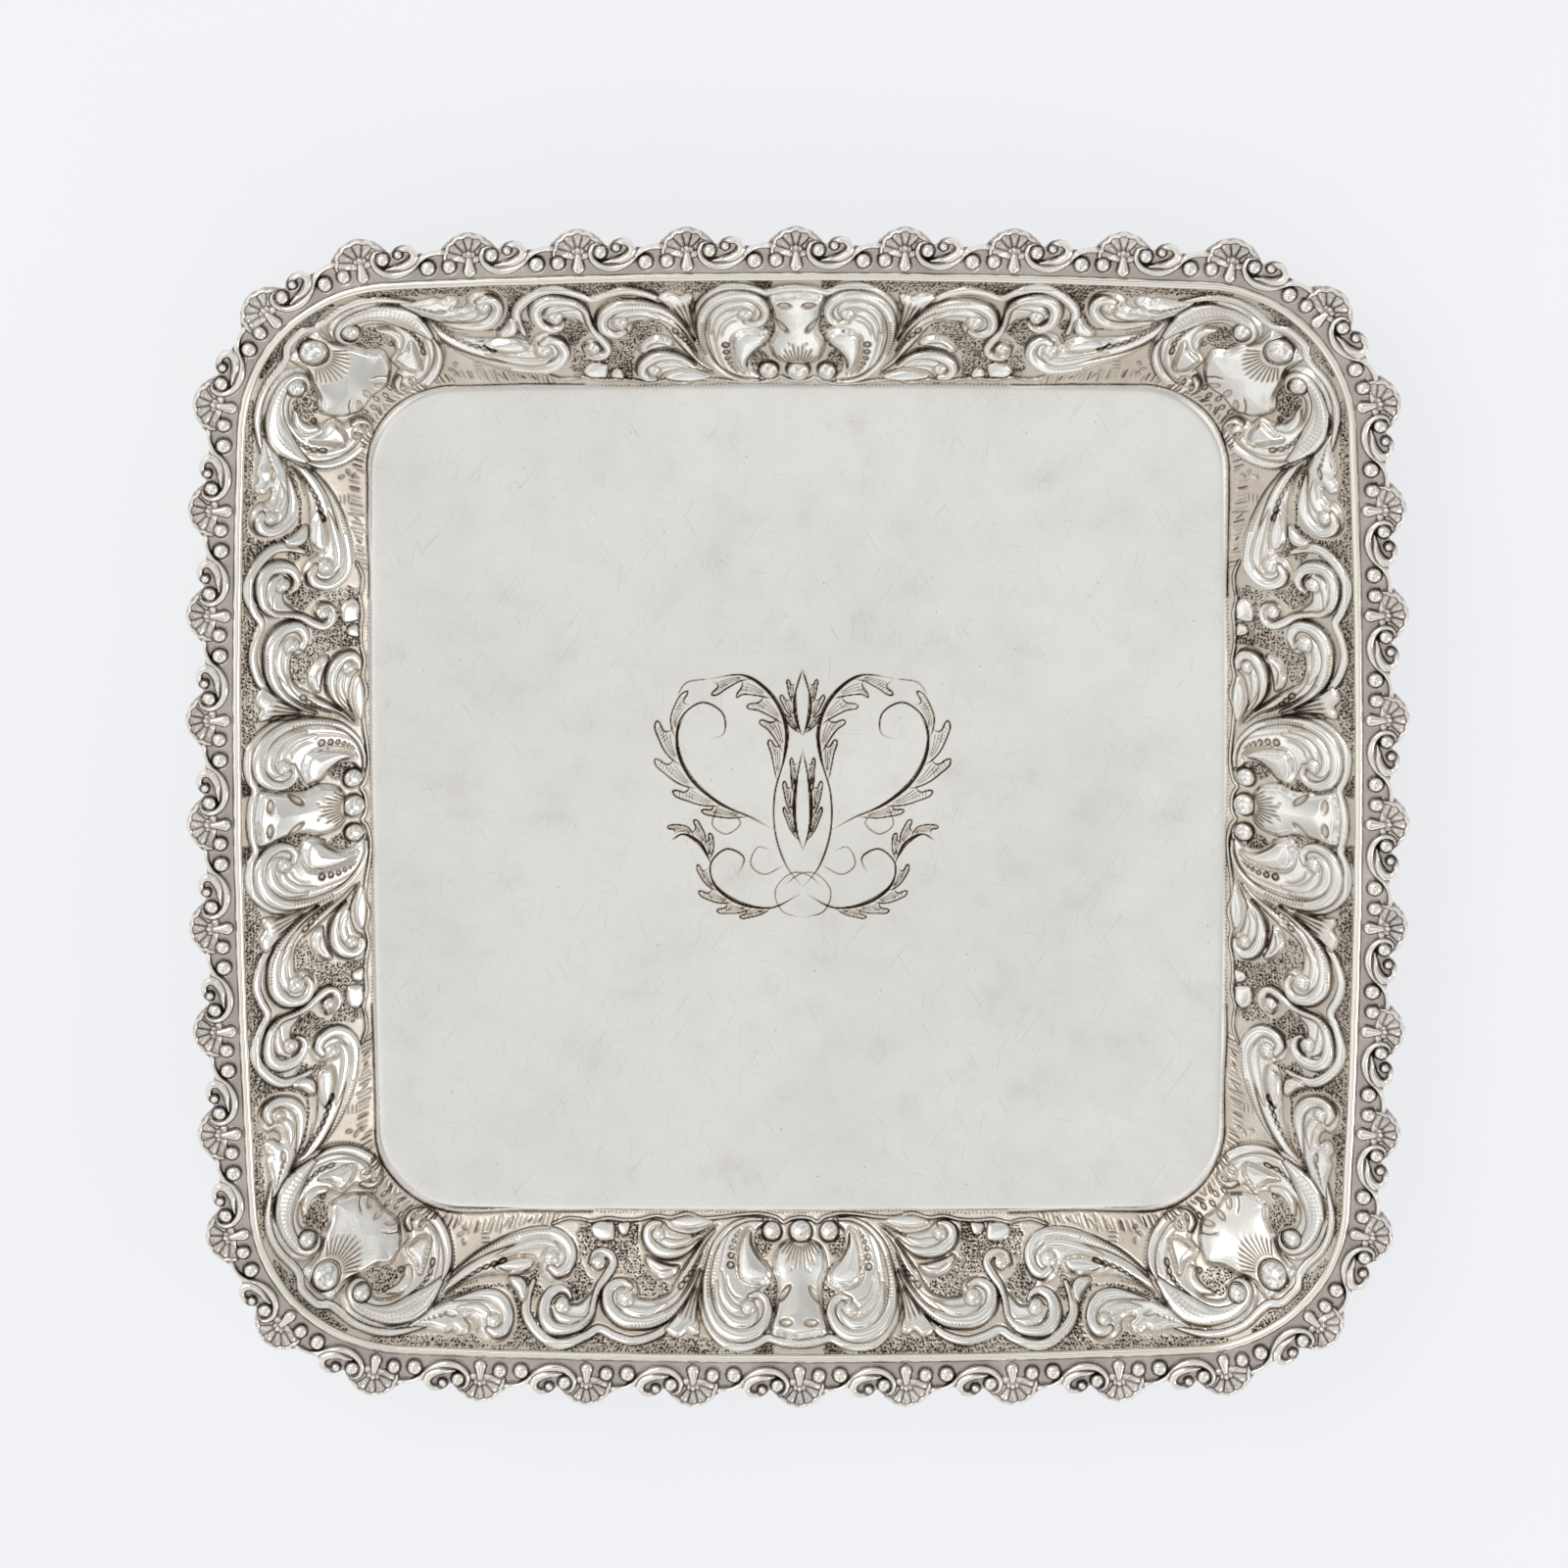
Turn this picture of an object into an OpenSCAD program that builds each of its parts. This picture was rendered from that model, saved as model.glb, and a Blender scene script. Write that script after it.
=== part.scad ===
// Square silver salver: one raised sheet with a chased sloping border, a drawn rim wire,
// an applied cast shell-and-scroll border in four lengths, and four cast scroll feet.
// Origin: centre of the footprint, on the surface that the feet stand on. +Z is up.

/* [Tray sheet] */
// Half width of the flat well at the middle of a side
well_half = 105.5; // [98:0.5:108]
// Corner radius of the flat well
well_corner = 21.5; // [16:0.5:24]
// Thickness of the silver sheet
sheet = 1.2; // [1:0.1:1.6]
// Height of the rim above the well
border_rise = 20.6; // [16:0.2:24]
// How hollow the sloping border is, 0 for a straight slope
border_hollow = 0.2; // [0:0.05:0.5]
// Width of the flat turned edge that carries the applied border
edge_w = 6; // [4:0.5:7]

/* [Rim wire] */
// Half width of the tray at the middle of a side, to the centre line of the wire
rim_half = 137.6; // [132:0.2:144]
// Radius that each side bows out to
side_bow = 2100; // [1600:50:3000]
// Corner radius at the centre line of the wire
rim_corner = 38; // [32:1:42]
// Width of the half-round wire
wire_w = 2.4; // [1.8:0.1:3]

/* [Applied border] */
// Number of shells along one side, counting one corner
shells_per_side = 10; // [8:1:12]
// Thickness of the cast ground
ground_t = 0.9; // [0.7:0.1:1.2]
// Width of the cast ground outside the wire
ground_w = 5.2; // [4:0.2:6]
// Distance from the wire's centre line to the tip of a shell
shell_reach = 12.4; // [11:0.2:13]
// Height of a shell above the ground's underside
shell_h = 2.2; // [1.6:0.1:2.8]
// Number of flutes in a shell
flutes = 7; // [5:2:9]
// Radius of a bead
bead_r = 1.6; // [1.2:0.1:1.8]

/* [Feet] */
// Height of the well's underside above the table
foot_h = 11; // [9:0.5:15]
// Distance of a foot from the centre line of the tray, along X and along Y
foot_at = 88; // [76:1:90]
// Width of a foot across its scrolls
foot_w = 9; // [7:0.5:11]

/* [Hidden] */

silver = "#d9d6d0";
cast_silver = "#c6c0b9";
$fn = 96;

wire_r = wire_w / 2;
well_z = foot_h + sheet;
edge_z = well_z + border_rise;
well_bow = 4000;

// Centre of a corner arc of radius corner that runs tangent into a side arc of radius bow
function corner_at(half, bow, corner) =
    let (k = bow - half, d = bow - corner) (sqrt(2 * d * d - k * k) - k) / 2;
// Heading, from straight out, at which the side arc meets the corner arc
function turn(half, bow, corner) =
    let (c = corner_at(half, bow, corner)) atan2(c, c + bow - half);

rim_c = corner_at(rim_half, side_bow, rim_corner);
rim_turn = turn(rim_half, side_bow, rim_corner);

// Point of a bowed square's first eighth: f runs 0 to 1 along the side, 1 to 2 round the corner
function eighth_point(half, bow, corner, f) =
    let (
        t = turn(half, bow, corner),
        c = corner_at(half, bow, corner),
        heading = f < 1 ? t * f : t + (45 - t) * (f - 1),
        centre = f < 1 ? [0, half - bow] : [c, c],
        r = f < 1 ? bow : corner
    )
    centre + r * [sin(heading), cos(heading)];

// Stations round one eighth: a few on the side, which is nearly straight, more on the corner
side_steps = 3;
corner_steps = 6;
stations = concat(
    [for (i = [0 : side_steps - 1]) i / side_steps],
    [for (i = [0 : corner_steps - 1]) 1 + i / corner_steps]
);
quarter_stations = concat(stations, [2], [for (i = [len(stations) - 1 : -1 : 1]) -stations[i]]);
ring_n = 4 * len(quarter_stations);

function quarter_turned(p, q) =
    q == 0 ? p : quarter_turned([p.y, -p.x], q - 1);
function whole_ring(half, bow, corner) = [
    for (q = [0 : 3]) for (f = quarter_stations)
        let (p = eighth_point(half, bow, corner, abs(f)))
        quarter_turned(f < 0 ? [p.y, p.x] : p, q)
];

well_ring = whole_ring(well_half, well_bow, well_corner);
seat_ring = whole_ring(rim_half - wire_r, side_bow - wire_r, rim_corner - wire_r);
edge_ring = whole_ring(
    rim_half + edge_w - wire_r, side_bow + edge_w - wire_r, rim_corner + edge_w - wire_r
);

// The border's profile, as fractions of the way from the well to the rim
slope_steps = 6;
slope = [for (i = [0 : slope_steps]) i / slope_steps];
function slope_z(u) = border_rise * ((1 - border_hollow) * u + border_hollow * u * u);
function raised(ring, z) = [for (p = ring) [p.x, p.y, z]];
function slope_ring(u, z) = [
    for (i = [0 : ring_n - 1])
        let (p = well_ring[i] + (seat_ring[i] - well_ring[i]) * u) [p.x, p.y, z]
];

// One sheet raised from the flat: the well, the sloping border and the flat turned edge
module tray_body() {
    upper = [for (u = slope) slope_ring(u, well_z + slope_z(u))];
    lower = [for (i = [slope_steps : -1 : 0]) slope_ring(slope[i], foot_h + slope_z(slope[i]))];
    rings = concat(upper, [raised(edge_ring, edge_z), raised(edge_ring, edge_z - sheet)], lower);
    last = len(rings) - 1;
    points = [for (r = rings) each r];
    walls = [
        for (r = [0 : last - 1]) for (i = [0 : ring_n - 1])
            let (j = (i + 1) % ring_n, a = r * ring_n, b = a + ring_n)
            each [[a + i, b + i, b + j], [a + i, b + j, a + j]]
    ];
    well_top = [for (i = [0 : ring_n - 1]) i];
    well_under = [for (i = [ring_n - 1 : -1 : 0]) last * ring_n + i];
    color(silver)
        polyhedron(points, concat([well_top], walls, [well_under]), convexity = 6);
}

// Spacing of the shells along the middle of the applied border, and the heading of the joint,
// which stands half a space back from the middle of a side
strip_mid = wire_r + ground_w;
side_len = (side_bow + strip_mid) * rim_turn * PI / 180;
corner_len = (rim_corner + strip_mid) * (45 - rim_turn) * PI / 180;
pitch = 2 * (side_len + corner_len) / shells_per_side;
joint_heading = -pitch / 2 / (side_bow + strip_mid) * 180 / PI;

// Headings along one length, which starts just short of the middle of one side and ends at
// the same place on the next
side_cuts = 4;
corner_cuts = 9;
length_headings = concat(
    [for (i = [0 : side_cuts]) joint_heading + (rim_turn - joint_heading) * i / side_cuts],
    [for (i = [1 : corner_cuts]) rim_turn + (90 - 2 * rim_turn) * i / corner_cuts],
    [for (i = [1 : side_cuts]) 90 - rim_turn + (rim_turn + joint_heading) * i / side_cuts]
);

// Point at a heading and at a reach outward from the wire's centre line
function rim_point(h, reach) =
    let (out = [sin(h), cos(h)])
    h < rim_turn ? [0, rim_half - side_bow] + (side_bow + reach) * out
    : h > 90 - rim_turn ? [rim_half - side_bow, 0] + (side_bow + reach) * out
    : [rim_c, rim_c] + (rim_corner + reach) * out;

// Half-round drawn wire, soldered over the line where sheet and applied border meet
wire_step = 22.5;
module rim_wire(quarter) {
    profile = [for (a = [0 : wire_step : 180]) wire_r * [cos(a), sin(a)]];
    n = len(profile);
    last = len(length_headings) - 1;
    points = [
        for (h = length_headings) for (p = profile)
            let (q = rim_point(h, p.x)) [q.x, q.y, edge_z + p.y]
    ];
    walls = [
        for (i = [0 : last - 1]) for (j = [0 : n - 1])
            let (k = (j + 1) % n, a = i * n, b = a + n)
            each [[a + j, b + j, b + k], [a + j, b + k, a + k]]
    ];
    start_cap = [for (j = [0 : n - 1]) j];
    end_cap = [for (j = [n - 1 : -1 : 0]) last * n + j];
    color(silver)
        rotate([0, 0, -90 * quarter])
            polyhedron(points, concat([start_cap], walls, [end_cap]), convexity = 4);
}

// Thin ground of one cast length, flat on the turned edge and close against the wire
module ground() {
    inner = [for (h = length_headings) rim_point(h, wire_r)];
    outer = [
        for (i = [len(length_headings) - 1 : -1 : 0]) rim_point(length_headings[i], wire_r + ground_w)
    ];
    translate([0, 0, edge_z])
        linear_extrude(ground_t)
            polygon(concat(inner, outer));
}

// Heading of a point on the rim a given distance clockwise from the side's middle
function rim_heading(s) =
    s > side_len + corner_len ? 90 - rim_heading(2 * (side_len + corner_len) - s)
    : s < side_len ? s / (side_bow + strip_mid) * 180 / PI
    : rim_turn + (s - side_len) / (rim_corner + strip_mid) * 180 / PI;

// Stands its children on the turned edge, a distance clockwise from the side's middle and
// a reach outward from the wire's centre line
module on_rim(distance, reach) {
    heading = rim_heading(distance);
    place = rim_point(heading, reach);
    translate([place.x, place.y, edge_z])
        rotate([0, 0, -heading])
            children();
}

// Scallop shell: a fan of flutes round a boss, with a drop hanging from it towards the wire
flute_r = 1.35;
fan_r = 5.1;
fan_reach = shell_reach - fan_r - flute_r;
fan_spread = 150;
boss_drop = 0.6;
drop_r = 1.5;
drop_reach = 3.4;
module shell() {
    cylinder(r = fan_r, h = shell_h - boss_drop);
    for (i = [0 : flutes - 1])
        rotate([0, 0, fan_spread * (i / (flutes - 1) - 0.5)])
            translate([0, fan_r, 0])
                cylinder(r = flute_r, h = shell_h);
    translate([0, drop_reach - fan_reach, ground_t])
        sphere(r = drop_r, $fn = 24);
}

// Knob at the outer end of the scroll beside each shell
knob_r = 2.7;
knob_side = 9.8;
knob_reach = 7.8;
knob_h = shell_h - 0.4;
module knob() {
    cylinder(r = knob_r, h = knob_h);
    translate([0, 0, knob_h - knob_r / 4])
        sphere(r = knob_r / 2, $fn = 24);
}

// Beads beside each shell, as distances clockwise from it and outward from the wire
beads = [[5.9, 6.9], [-10.4, 4.2], [-6.4, 4.2]];

// One cast length of the border: a thin ground with its ornament standing on it
module applied_border(quarter) {
    slab = 4 * rim_half;
    color(cast_silver)
        rotate([0, 0, -90 * quarter])
            difference() {
                union() {
                    ground();
                    for (s = [0 : pitch : (shells_per_side - 0.5) * pitch]) {
                        on_rim(s, fan_reach)
                            shell();
                        on_rim(s + knob_side, knob_reach)
                            knob();
                        for (b = beads)
                            on_rim(s + b.x, b.y)
                                translate([0, 0, ground_t])
                                    sphere(r = bead_r, $fn = 24);
                    }
                }
                translate([-slab / 2, -slab / 2, edge_z - bead_r])
                    cube([slab, slab, bead_r]);
            }
}

// Cast foot: a scalloped pad soldered under the well, and a leg that curls out to a rolled toe
pad_t = 1.4;
pad_r = 6.5;
pad_lobe_r = 2.4;
leg_bend = 6.2;
leg_t = 2.6;
toe_r = 2.7;
toe_flat = 0.3;
module foot(quarter) {
    pad_z = foot_h - pad_t;
    leg_x = leg_bend - 1.6;
    color(cast_silver)
        rotate([0, 0, -90 * quarter])
            translate([foot_at, foot_at, 0])
                rotate([0, 0, 45])
                    difference() {
                        union() {
                            translate([0, 0, pad_z])
                                linear_extrude(pad_t)
                                    pad_outline();
                            rotate([90, 0, 0])
                                linear_extrude(foot_w, center = true)
                                    leg_side(leg_x, pad_z);
                        }
                        translate([-leg_bend * 4, -foot_w, -toe_r])
                            cube([leg_bend * 8, foot_w * 2, toe_r]);
                    }
}

// Outline of the pad: a disc with lobes round its outer three quarters, like a shell
module pad_outline() {
    circle(r = pad_r);
    for (a = [-120 : 40 : 120])
        rotate(a)
            translate([pad_r, 0])
                circle(r = pad_lobe_r);
}

// Side view of the leg: a rolled knee under the pad, a quarter bend and the toe
module leg_side(leg_x, pad_z) {
    bend_z = toe_r + leg_bend - leg_t / 2 + toe_flat;
    knee_r = (pad_z - toe_r) / 2;
    translate([leg_x - leg_bend, pad_z - knee_r + 0.4])
        circle(r = knee_r);
    translate([leg_x, bend_z])
        intersection() {
            difference() {
                circle(r = leg_bend + leg_t / 2);
                circle(r = leg_bend - leg_t / 2);
            }
            translate([-2 * leg_bend, -2 * leg_bend])
                square(2 * leg_bend);
        }
    translate([leg_x + leg_t / 2, toe_r - toe_flat])
        circle(r = toe_r);
}

tray_body();
rim_wire(0);  // rim_wire_back_right
rim_wire(1);  // rim_wire_front_right
rim_wire(2);  // rim_wire_front_left
rim_wire(3);  // rim_wire_back_left
applied_border(0);  // applied_border_back_right
applied_border(1);  // applied_border_front_right
applied_border(2);  // applied_border_front_left
applied_border(3);  // applied_border_back_left
foot(0);  // foot_back_right
foot(1);  // foot_front_right
foot(2);  // foot_front_left
foot(3);  // foot_back_left
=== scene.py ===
"""A square silver salver: one raised sheet with a chased border, a half-round rim wire, four
lengths of applied shell-and-scroll border and four cast scroll feet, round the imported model."""

import bmesh
import bpy
import numpy as np
from mathutils import Matrix, Vector


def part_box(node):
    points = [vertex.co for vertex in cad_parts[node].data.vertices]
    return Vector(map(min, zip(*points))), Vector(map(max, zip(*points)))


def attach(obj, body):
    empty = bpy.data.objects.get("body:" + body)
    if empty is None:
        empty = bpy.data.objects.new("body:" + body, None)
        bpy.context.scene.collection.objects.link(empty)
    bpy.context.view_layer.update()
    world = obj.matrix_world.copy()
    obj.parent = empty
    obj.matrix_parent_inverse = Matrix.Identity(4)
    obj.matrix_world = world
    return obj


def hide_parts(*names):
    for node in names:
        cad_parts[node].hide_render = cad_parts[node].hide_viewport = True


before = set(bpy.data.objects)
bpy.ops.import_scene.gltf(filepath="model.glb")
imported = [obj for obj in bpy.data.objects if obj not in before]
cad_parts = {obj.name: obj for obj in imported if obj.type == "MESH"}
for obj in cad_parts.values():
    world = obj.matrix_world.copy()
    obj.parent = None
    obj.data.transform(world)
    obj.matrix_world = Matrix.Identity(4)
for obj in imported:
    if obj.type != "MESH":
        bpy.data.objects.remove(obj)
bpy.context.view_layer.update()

# ---- The sheet: its sloping border ---------------------------------------------------------
# One sheet of silver raised into a shallow square tray. The slope is chased from the front with
# punches: leaf sprays, C scrolls and shells stand up from a ground struck all over with a small
# round punch. It is built as eight like lengths, each from the middle of a side to a corner.

mm = 0.001
sheet_low, sheet_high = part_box("tray_body")
edge_z = sheet_high.z / mm
foot_h = sheet_low.z / mm
sheet_t = 1.2
well_z = foot_h + sheet_t
# Outlines of the well and of the wire: half the width, the bow of the sides, the corner radius.
well_shape = (105.5, 4000, 21.5)
rim_shape = (137.6, 2100, 38)
wire_r = 1.2
edge_w = 6
device_half = 38  # half the width of the engraved middle
border_hollow = 0.2


def smooth_line(points, per_span=10, closed=False):
    """A smooth curve through a few given points."""
    p = np.array(points, float)
    if closed:
        q = np.vstack([p[-1:], p, p[:2]])
    else:
        q = np.vstack([2 * p[0] - p[1], p, 2 * p[-1] - p[-2]])
    t = np.linspace(0, 1, per_span, endpoint=False)[:, None]
    spans = []
    for a, b, c, d in zip(q[:-3], q[1:-2], q[2:-1], q[3:]):
        cubic = (3 * b - a - 3 * c + d) * t**3 + (2 * a - 5 * b + 4 * c - d) * t**2
        spans.append(0.5 * (cubic + (c - a) * t + 2 * b))
    return np.vstack(spans + ([] if closed else [p[-1:]]))


def run_along(line):
    """The distance run along a line at each of its points."""
    return np.concatenate([[0], np.cumsum(np.hypot(*np.diff(line, axis=0).T))])


def point_at(line, place):
    """The point a distance along a line, and the heading there in degrees."""
    step, run = np.diff(line, axis=0), run_along(line)
    i = min(np.searchsorted(run, place, side="right") - 1, len(step) - 1)
    at = line[i] + step[i] * (place - run[i]) / (run[i + 1] - run[i])
    return at, np.degrees(np.arctan2(step[i][1], step[i][0]))


def spoke(middle, turn, *lengths):
    """Points at some distances from a middle, on a heading in degrees from the Y axis."""
    way = np.sin(np.radians(turn)), np.cos(np.radians(turn))
    return [(middle[0] + far * way[0], middle[1] + far * way[1]) for far in lengths]


def ease(x):
    x = np.clip(x, 0, 1)
    return x * x * (3 - 2 * x)


class Relief:
    """Height and tarnish over a flat area in mm, worked one stroke or punch at a time."""

    def __init__(self, low, high, step):
        self.low, self.step = np.array(low, float), step
        counts = np.ceil((np.array(high) - self.low) / step).astype(int) + 1
        self.x = self.low[0] + step * np.arange(counts[0])
        self.y = self.low[1] + step * np.arange(counts[1])
        self.height = np.zeros(counts)
        self.dark = np.zeros(counts)
        self.stamped = np.zeros(counts)

    def window(self, line, margin):
        """The part of the area within a margin of a line, and its coordinates."""
        lo = np.floor((line.min(0) - margin - self.low) / self.step).astype(int)
        hi = np.ceil((line.max(0) + margin - self.low) / self.step).astype(int) + 1
        lo, hi = np.clip(lo, 0, self.height.shape), np.clip(hi, 0, self.height.shape)
        w = slice(lo[0], hi[0]), slice(lo[1], hi[1])
        return w, self.x[w[0], None], self.y[None, w[1]]

    def reach(self, line, margin):
        """Distance to a line, and the share of its length at the nearest point."""
        w, x, y = self.window(line, margin)
        best = np.full((x.shape[0], y.shape[1]), 1e9)
        share = np.zeros_like(best)
        step, run = np.diff(line, axis=0), run_along(line)
        run /= max(run[-1], 1e-9)
        for i, (a, d) in enumerate(zip(line[:-1], step)):
            k = np.clip(((x - a[0]) * d[0] + (y - a[1]) * d[1]) / max(d @ d, 1e-12), 0, 1)
            far = (x - a[0] - k * d[0]) ** 2 + (y - a[1] - k * d[1]) ** 2
            near = far < best
            best = np.where(near, far, best)
            share = np.where(near, run[i] + k * (run[i + 1] - run[i]), share)
        return w, np.sqrt(best), share

    def within(self, ring, x, y):
        inside = np.zeros(np.broadcast(x, y).shape, bool)
        for a, b in zip(ring, np.roll(ring, -1, 0)):
            if a[1] != b[1]:
                cross = a[0] + (y - a[1]) * (b[0] - a[0]) / (b[1] - a[1])
                inside ^= ((a[1] > y) != (b[1] > y)) & (x < cross)
        return inside

    def cover(self, w, where, face, edge, line):
        """Lays a raised face over the ground, with a chased line round it."""
        self.height[w] = np.where(where, face, self.height[w] - 0.35 * line * edge)
        self.dark[w] = np.where(where, 0, self.dark[w])
        self.dark[w] = np.maximum(self.dark[w], line * edge)
        self.stamped[w] = np.where(where, 0, self.stamped[w])

    def band(self, points, widths, height, root=1.0, line=0.9):
        """A raised band with a round back and a chased line down each side."""
        w, far, share = self.reach(smooth_line(points), max(widths) + 1.5)
        half = np.interp(share, np.linspace(0, 1, len(widths)), widths)
        u = np.clip(far / half, 0, 1)
        back = root + (height - root) * np.sqrt(1 - u**2.2)
        self.cover(w, far < half, back, np.exp(-(((far - half - 0.03) / 0.19) ** 2)), line)

    def hatch(self, points, spacing, length, turn=90.0, depth=0.22, dark=0.85):
        """Short strokes cut side by side along a line."""
        line = smooth_line(points)
        for place in np.arange(spacing / 2, run_along(line)[-1], spacing):
            at, heading = point_at(line, place)
            way = np.radians(heading + turn)
            half = length / 2 * np.array([np.cos(way), np.sin(way)])
            self.groove([at - half, at + half], depth, 0.17, dark)

    def dots(self, points, spacing, size=0.24, dark=0.9):
        """A line of small round punch marks."""
        line = smooth_line(points)
        for place in np.arange(spacing / 2, run_along(line)[-1], spacing):
            self.oval(point_at(line, place)[0], (size, size), 0, 0.2, dark)

    def tint_ground(self, tone, depth):
        """Leaves tarnish on everything that lies lower than a depth."""
        self.dark = np.maximum(self.dark, tone * (1 - ease(self.height / depth)))

    def panel(self, points, height, edge=0.9, crown=0.3, line=0.95):
        """A raised patch with a rounded edge and a slightly crowned face."""
        ring = smooth_line(points, 6, closed=True)
        w, far, _ = self.reach(np.vstack([ring, ring[:1]]), 1.5)
        inside = self.within(ring, self.x[w[0], None], self.y[None, w[1]])
        face = height * ease((far + 0.1) / edge) + crown * (1 - np.exp(-far / 2.5))
        rim = np.exp(-((far / 0.2) ** 2)) * (1 - 0.5 * inside)
        self.height[w] = np.where(inside, face, self.height[w] - 0.3 * line * rim)
        self.stamped[w] = np.where(inside, 0, self.stamped[w])
        self.dark[w] = np.where(inside & (far > 0.3), 0, self.dark[w])
        self.dark[w] = np.maximum(self.dark[w], line * rim)

    def groove(self, points, depth=0.25, width=0.22, dark=0.8, taper=True):
        """A line cut with a tracing punch, thinning to its ends."""
        w, far, share = self.reach(smooth_line(points), 1.2)
        thin = np.clip(np.minimum(share, 1 - share) * 5 + 0.35, 0.35, 1) if taper else 1
        cut = np.exp(-((far / (width * thin)) ** 2)) * thin
        self.height[w] -= depth * cut
        self.dark[w] = np.maximum(self.dark[w], dark * cut)

    def oval(self, at, size, turn=0.0, depth=0.5, dark=0.6):
        """A hollow struck with an oval punch."""
        w, x, y = self.window(np.array([at, at], float), max(size) + 0.8)
        x, y = x - at[0], y - at[1]
        c, s = np.cos(np.radians(turn)), np.sin(np.radians(turn))
        u = np.hypot((x * c + y * s) / size[0], (y * c - x * s) / size[1])
        self.height[w] -= depth * np.sqrt(np.clip(1 - u * u, 0, 1))
        tone = dark * ease((1.15 - u) * 4) * (0.55 + 0.45 * ease((u - 0.4) * 3))
        self.dark[w] = np.maximum(self.dark[w], tone)

    def bead(self, at, size, height, line=0.95):
        """A domed bead standing in a punched ring."""
        w, x, y = self.window(np.array([at, at], float), max(size) + 1.2)
        u = np.hypot((x - at[0]) / size[0], (y - at[1]) / size[1])
        ring = np.exp(-((((u - 1) * min(size) - 0.1) / 0.28) ** 2))
        dome = 0.5 + (height - 0.5) * np.sqrt(np.clip(1 - u * u, 0, 1))
        self.cover(w, u < 1, dome, ring, line)

    def punch_row(self, points, count, first, last, depth=0.4):
        """Ovals struck side by side along a line, growing or shrinking as they go."""
        line = smooth_line(points)
        sizes = np.linspace(0, 1, count)[:, None] * np.subtract(last, first) + first
        places = np.cumsum(sizes[:, 1]) - sizes[:, 1] / 2
        places = (places - places[0]) / (places[-1] - places[0]) * run_along(line)[-1]
        for place, size in zip(places, sizes):
            at, heading = point_at(line, place)
            self.oval(at, size, heading + 90, depth, 0.8)

    def matting(self, points, seed, spacing=0.8, size=0.27, depth=0.35, tone=0.5):
        """Ground struck all over with a small round punch, which holds the tarnish."""
        ring = smooth_line(points, 4, closed=True)
        w, x, y = self.window(ring, 0.2)
        inside = self.within(ring, x, y)
        rng = np.random.default_rng(seed)
        pits = np.zeros(inside.shape)
        k = int(np.ceil(2 * size / self.step))
        for row, v in enumerate(np.arange(y.min(), y.max(), spacing * 0.87)):
            for u in np.arange(x.min() + row % 2 * spacing / 2, x.max(), spacing):
                at = rng.normal((u, v), 0.16 * spacing)
                i, j = ((at - (x.min(), y.min())) / self.step).astype(int)
                a, b = slice(max(i - k, 0), i + k + 1), slice(max(j - k, 0), j + k + 1)
                far = (x[a] - at[0]) ** 2 + (y[:, b] - at[1]) ** 2
                pits[a, b] = np.maximum(pits[a, b], np.exp(-far / size**2) * rng.uniform(0.6, 1))
        self.height[w] -= np.where(inside, depth * pits, 0)
        worn = np.maximum(self.dark[w], tone + (1 - tone) * pits)
        self.dark[w] = np.where(inside, worn, self.dark[w])
        self.stamped[w] = np.where(inside, 1, self.stamped[w])

    def softened(self, field, radius):
        """A field with its finest detail smoothed away."""
        n = int(np.ceil(3 * radius / self.step))
        weight = np.exp(-0.5 * (np.arange(-n, n + 1) * self.step / radius) ** 2)
        for axis in (0, 1):
            pad = [(n, n) if a == axis else (0, 0) for a in (0, 1)]
            wide = np.pad(field, pad, mode="edge")
            size = field.shape[axis]
            field = sum(
                k * np.take(wide, range(i, i + size), axis) for i, k in enumerate(weight)
            ) / weight.sum()
        return field

    def read(self, field, x, y):
        """The field between its samples."""
        u = np.clip((x - self.low[0]) / self.step, 0, field.shape[0] - 1.001)
        v = np.clip((y - self.low[1]) / self.step, 0, field.shape[1] - 1.001)
        i, j = u.astype(int), v.astype(int)
        u, v = u - i, v - j
        near = field[i, j] * (1 - u) + field[i + 1, j] * u
        far = field[i, j + 1] * (1 - u) + field[i + 1, j + 1] * u
        return near * (1 - v) + far * v


chased = Relief((-1, 94), (131, 139), 0.125)
# The stamped ground: a strip beside the wire, and the pockets between the leaves.
chased.matting([(18, 138), (19, 134.6), (21.5, 133.2), (26, 132.3), (30, 133.2), (34, 132.3),
    (38, 133.6), (42, 134.3), (46, 133.6), (49.8, 132), (53, 133.5), (58, 134.7), (62, 134.3),
    (66, 131.8), (69, 128.5), (70.3, 124.5), (70.3, 130), (73, 133.6), (78, 133.8), (81, 131.5),
    (84, 132.6), (90, 132.3), (96, 132.2), (104, 132.3), (107, 133), (104, 138)], 2, spacing=0.95,
    size=0.32, depth=0.4, tone=0.3)
chased.matting([(112, 130.5), (115, 127.6), (116.6, 125.6), (119.8, 125), (122.8, 122.8), (125, 119.8),
    (125.6, 116.6), (127.6, 115), (130.5, 112), (131, 120), (120, 131)], 3, tone=0.4)
chased.matting([(6.6, 136.8), (6.2, 134.9), (7.6, 134.4), (10, 135.5), (12.5, 136.8)], 4)
chased.matting([(5.2, 126.5), (4.9, 122), (6, 118.8), (8.6, 116.3), (7, 118.8), (6.6, 121.3), (9, 123),
    (7, 125), (6.2, 128)], 5, tone=0.4)
chased.matting([(33, 123.5), (36.5, 124.8), (40.4, 124.2), (40.2, 121.4), (43, 119.3), (46, 118.6),
    (46, 115), (48, 113.7), (51.5, 114), (54.4, 116.5), (55, 112.6), (55.5, 110.2), (53, 108.6),
    (47, 107.7), (40.6, 107.6), (40.4, 111), (39.6, 115.8), (37.6, 119), (34.5, 120.6), (32.8, 121.2)],
    6, size=0.26, tone=0.28)
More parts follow.
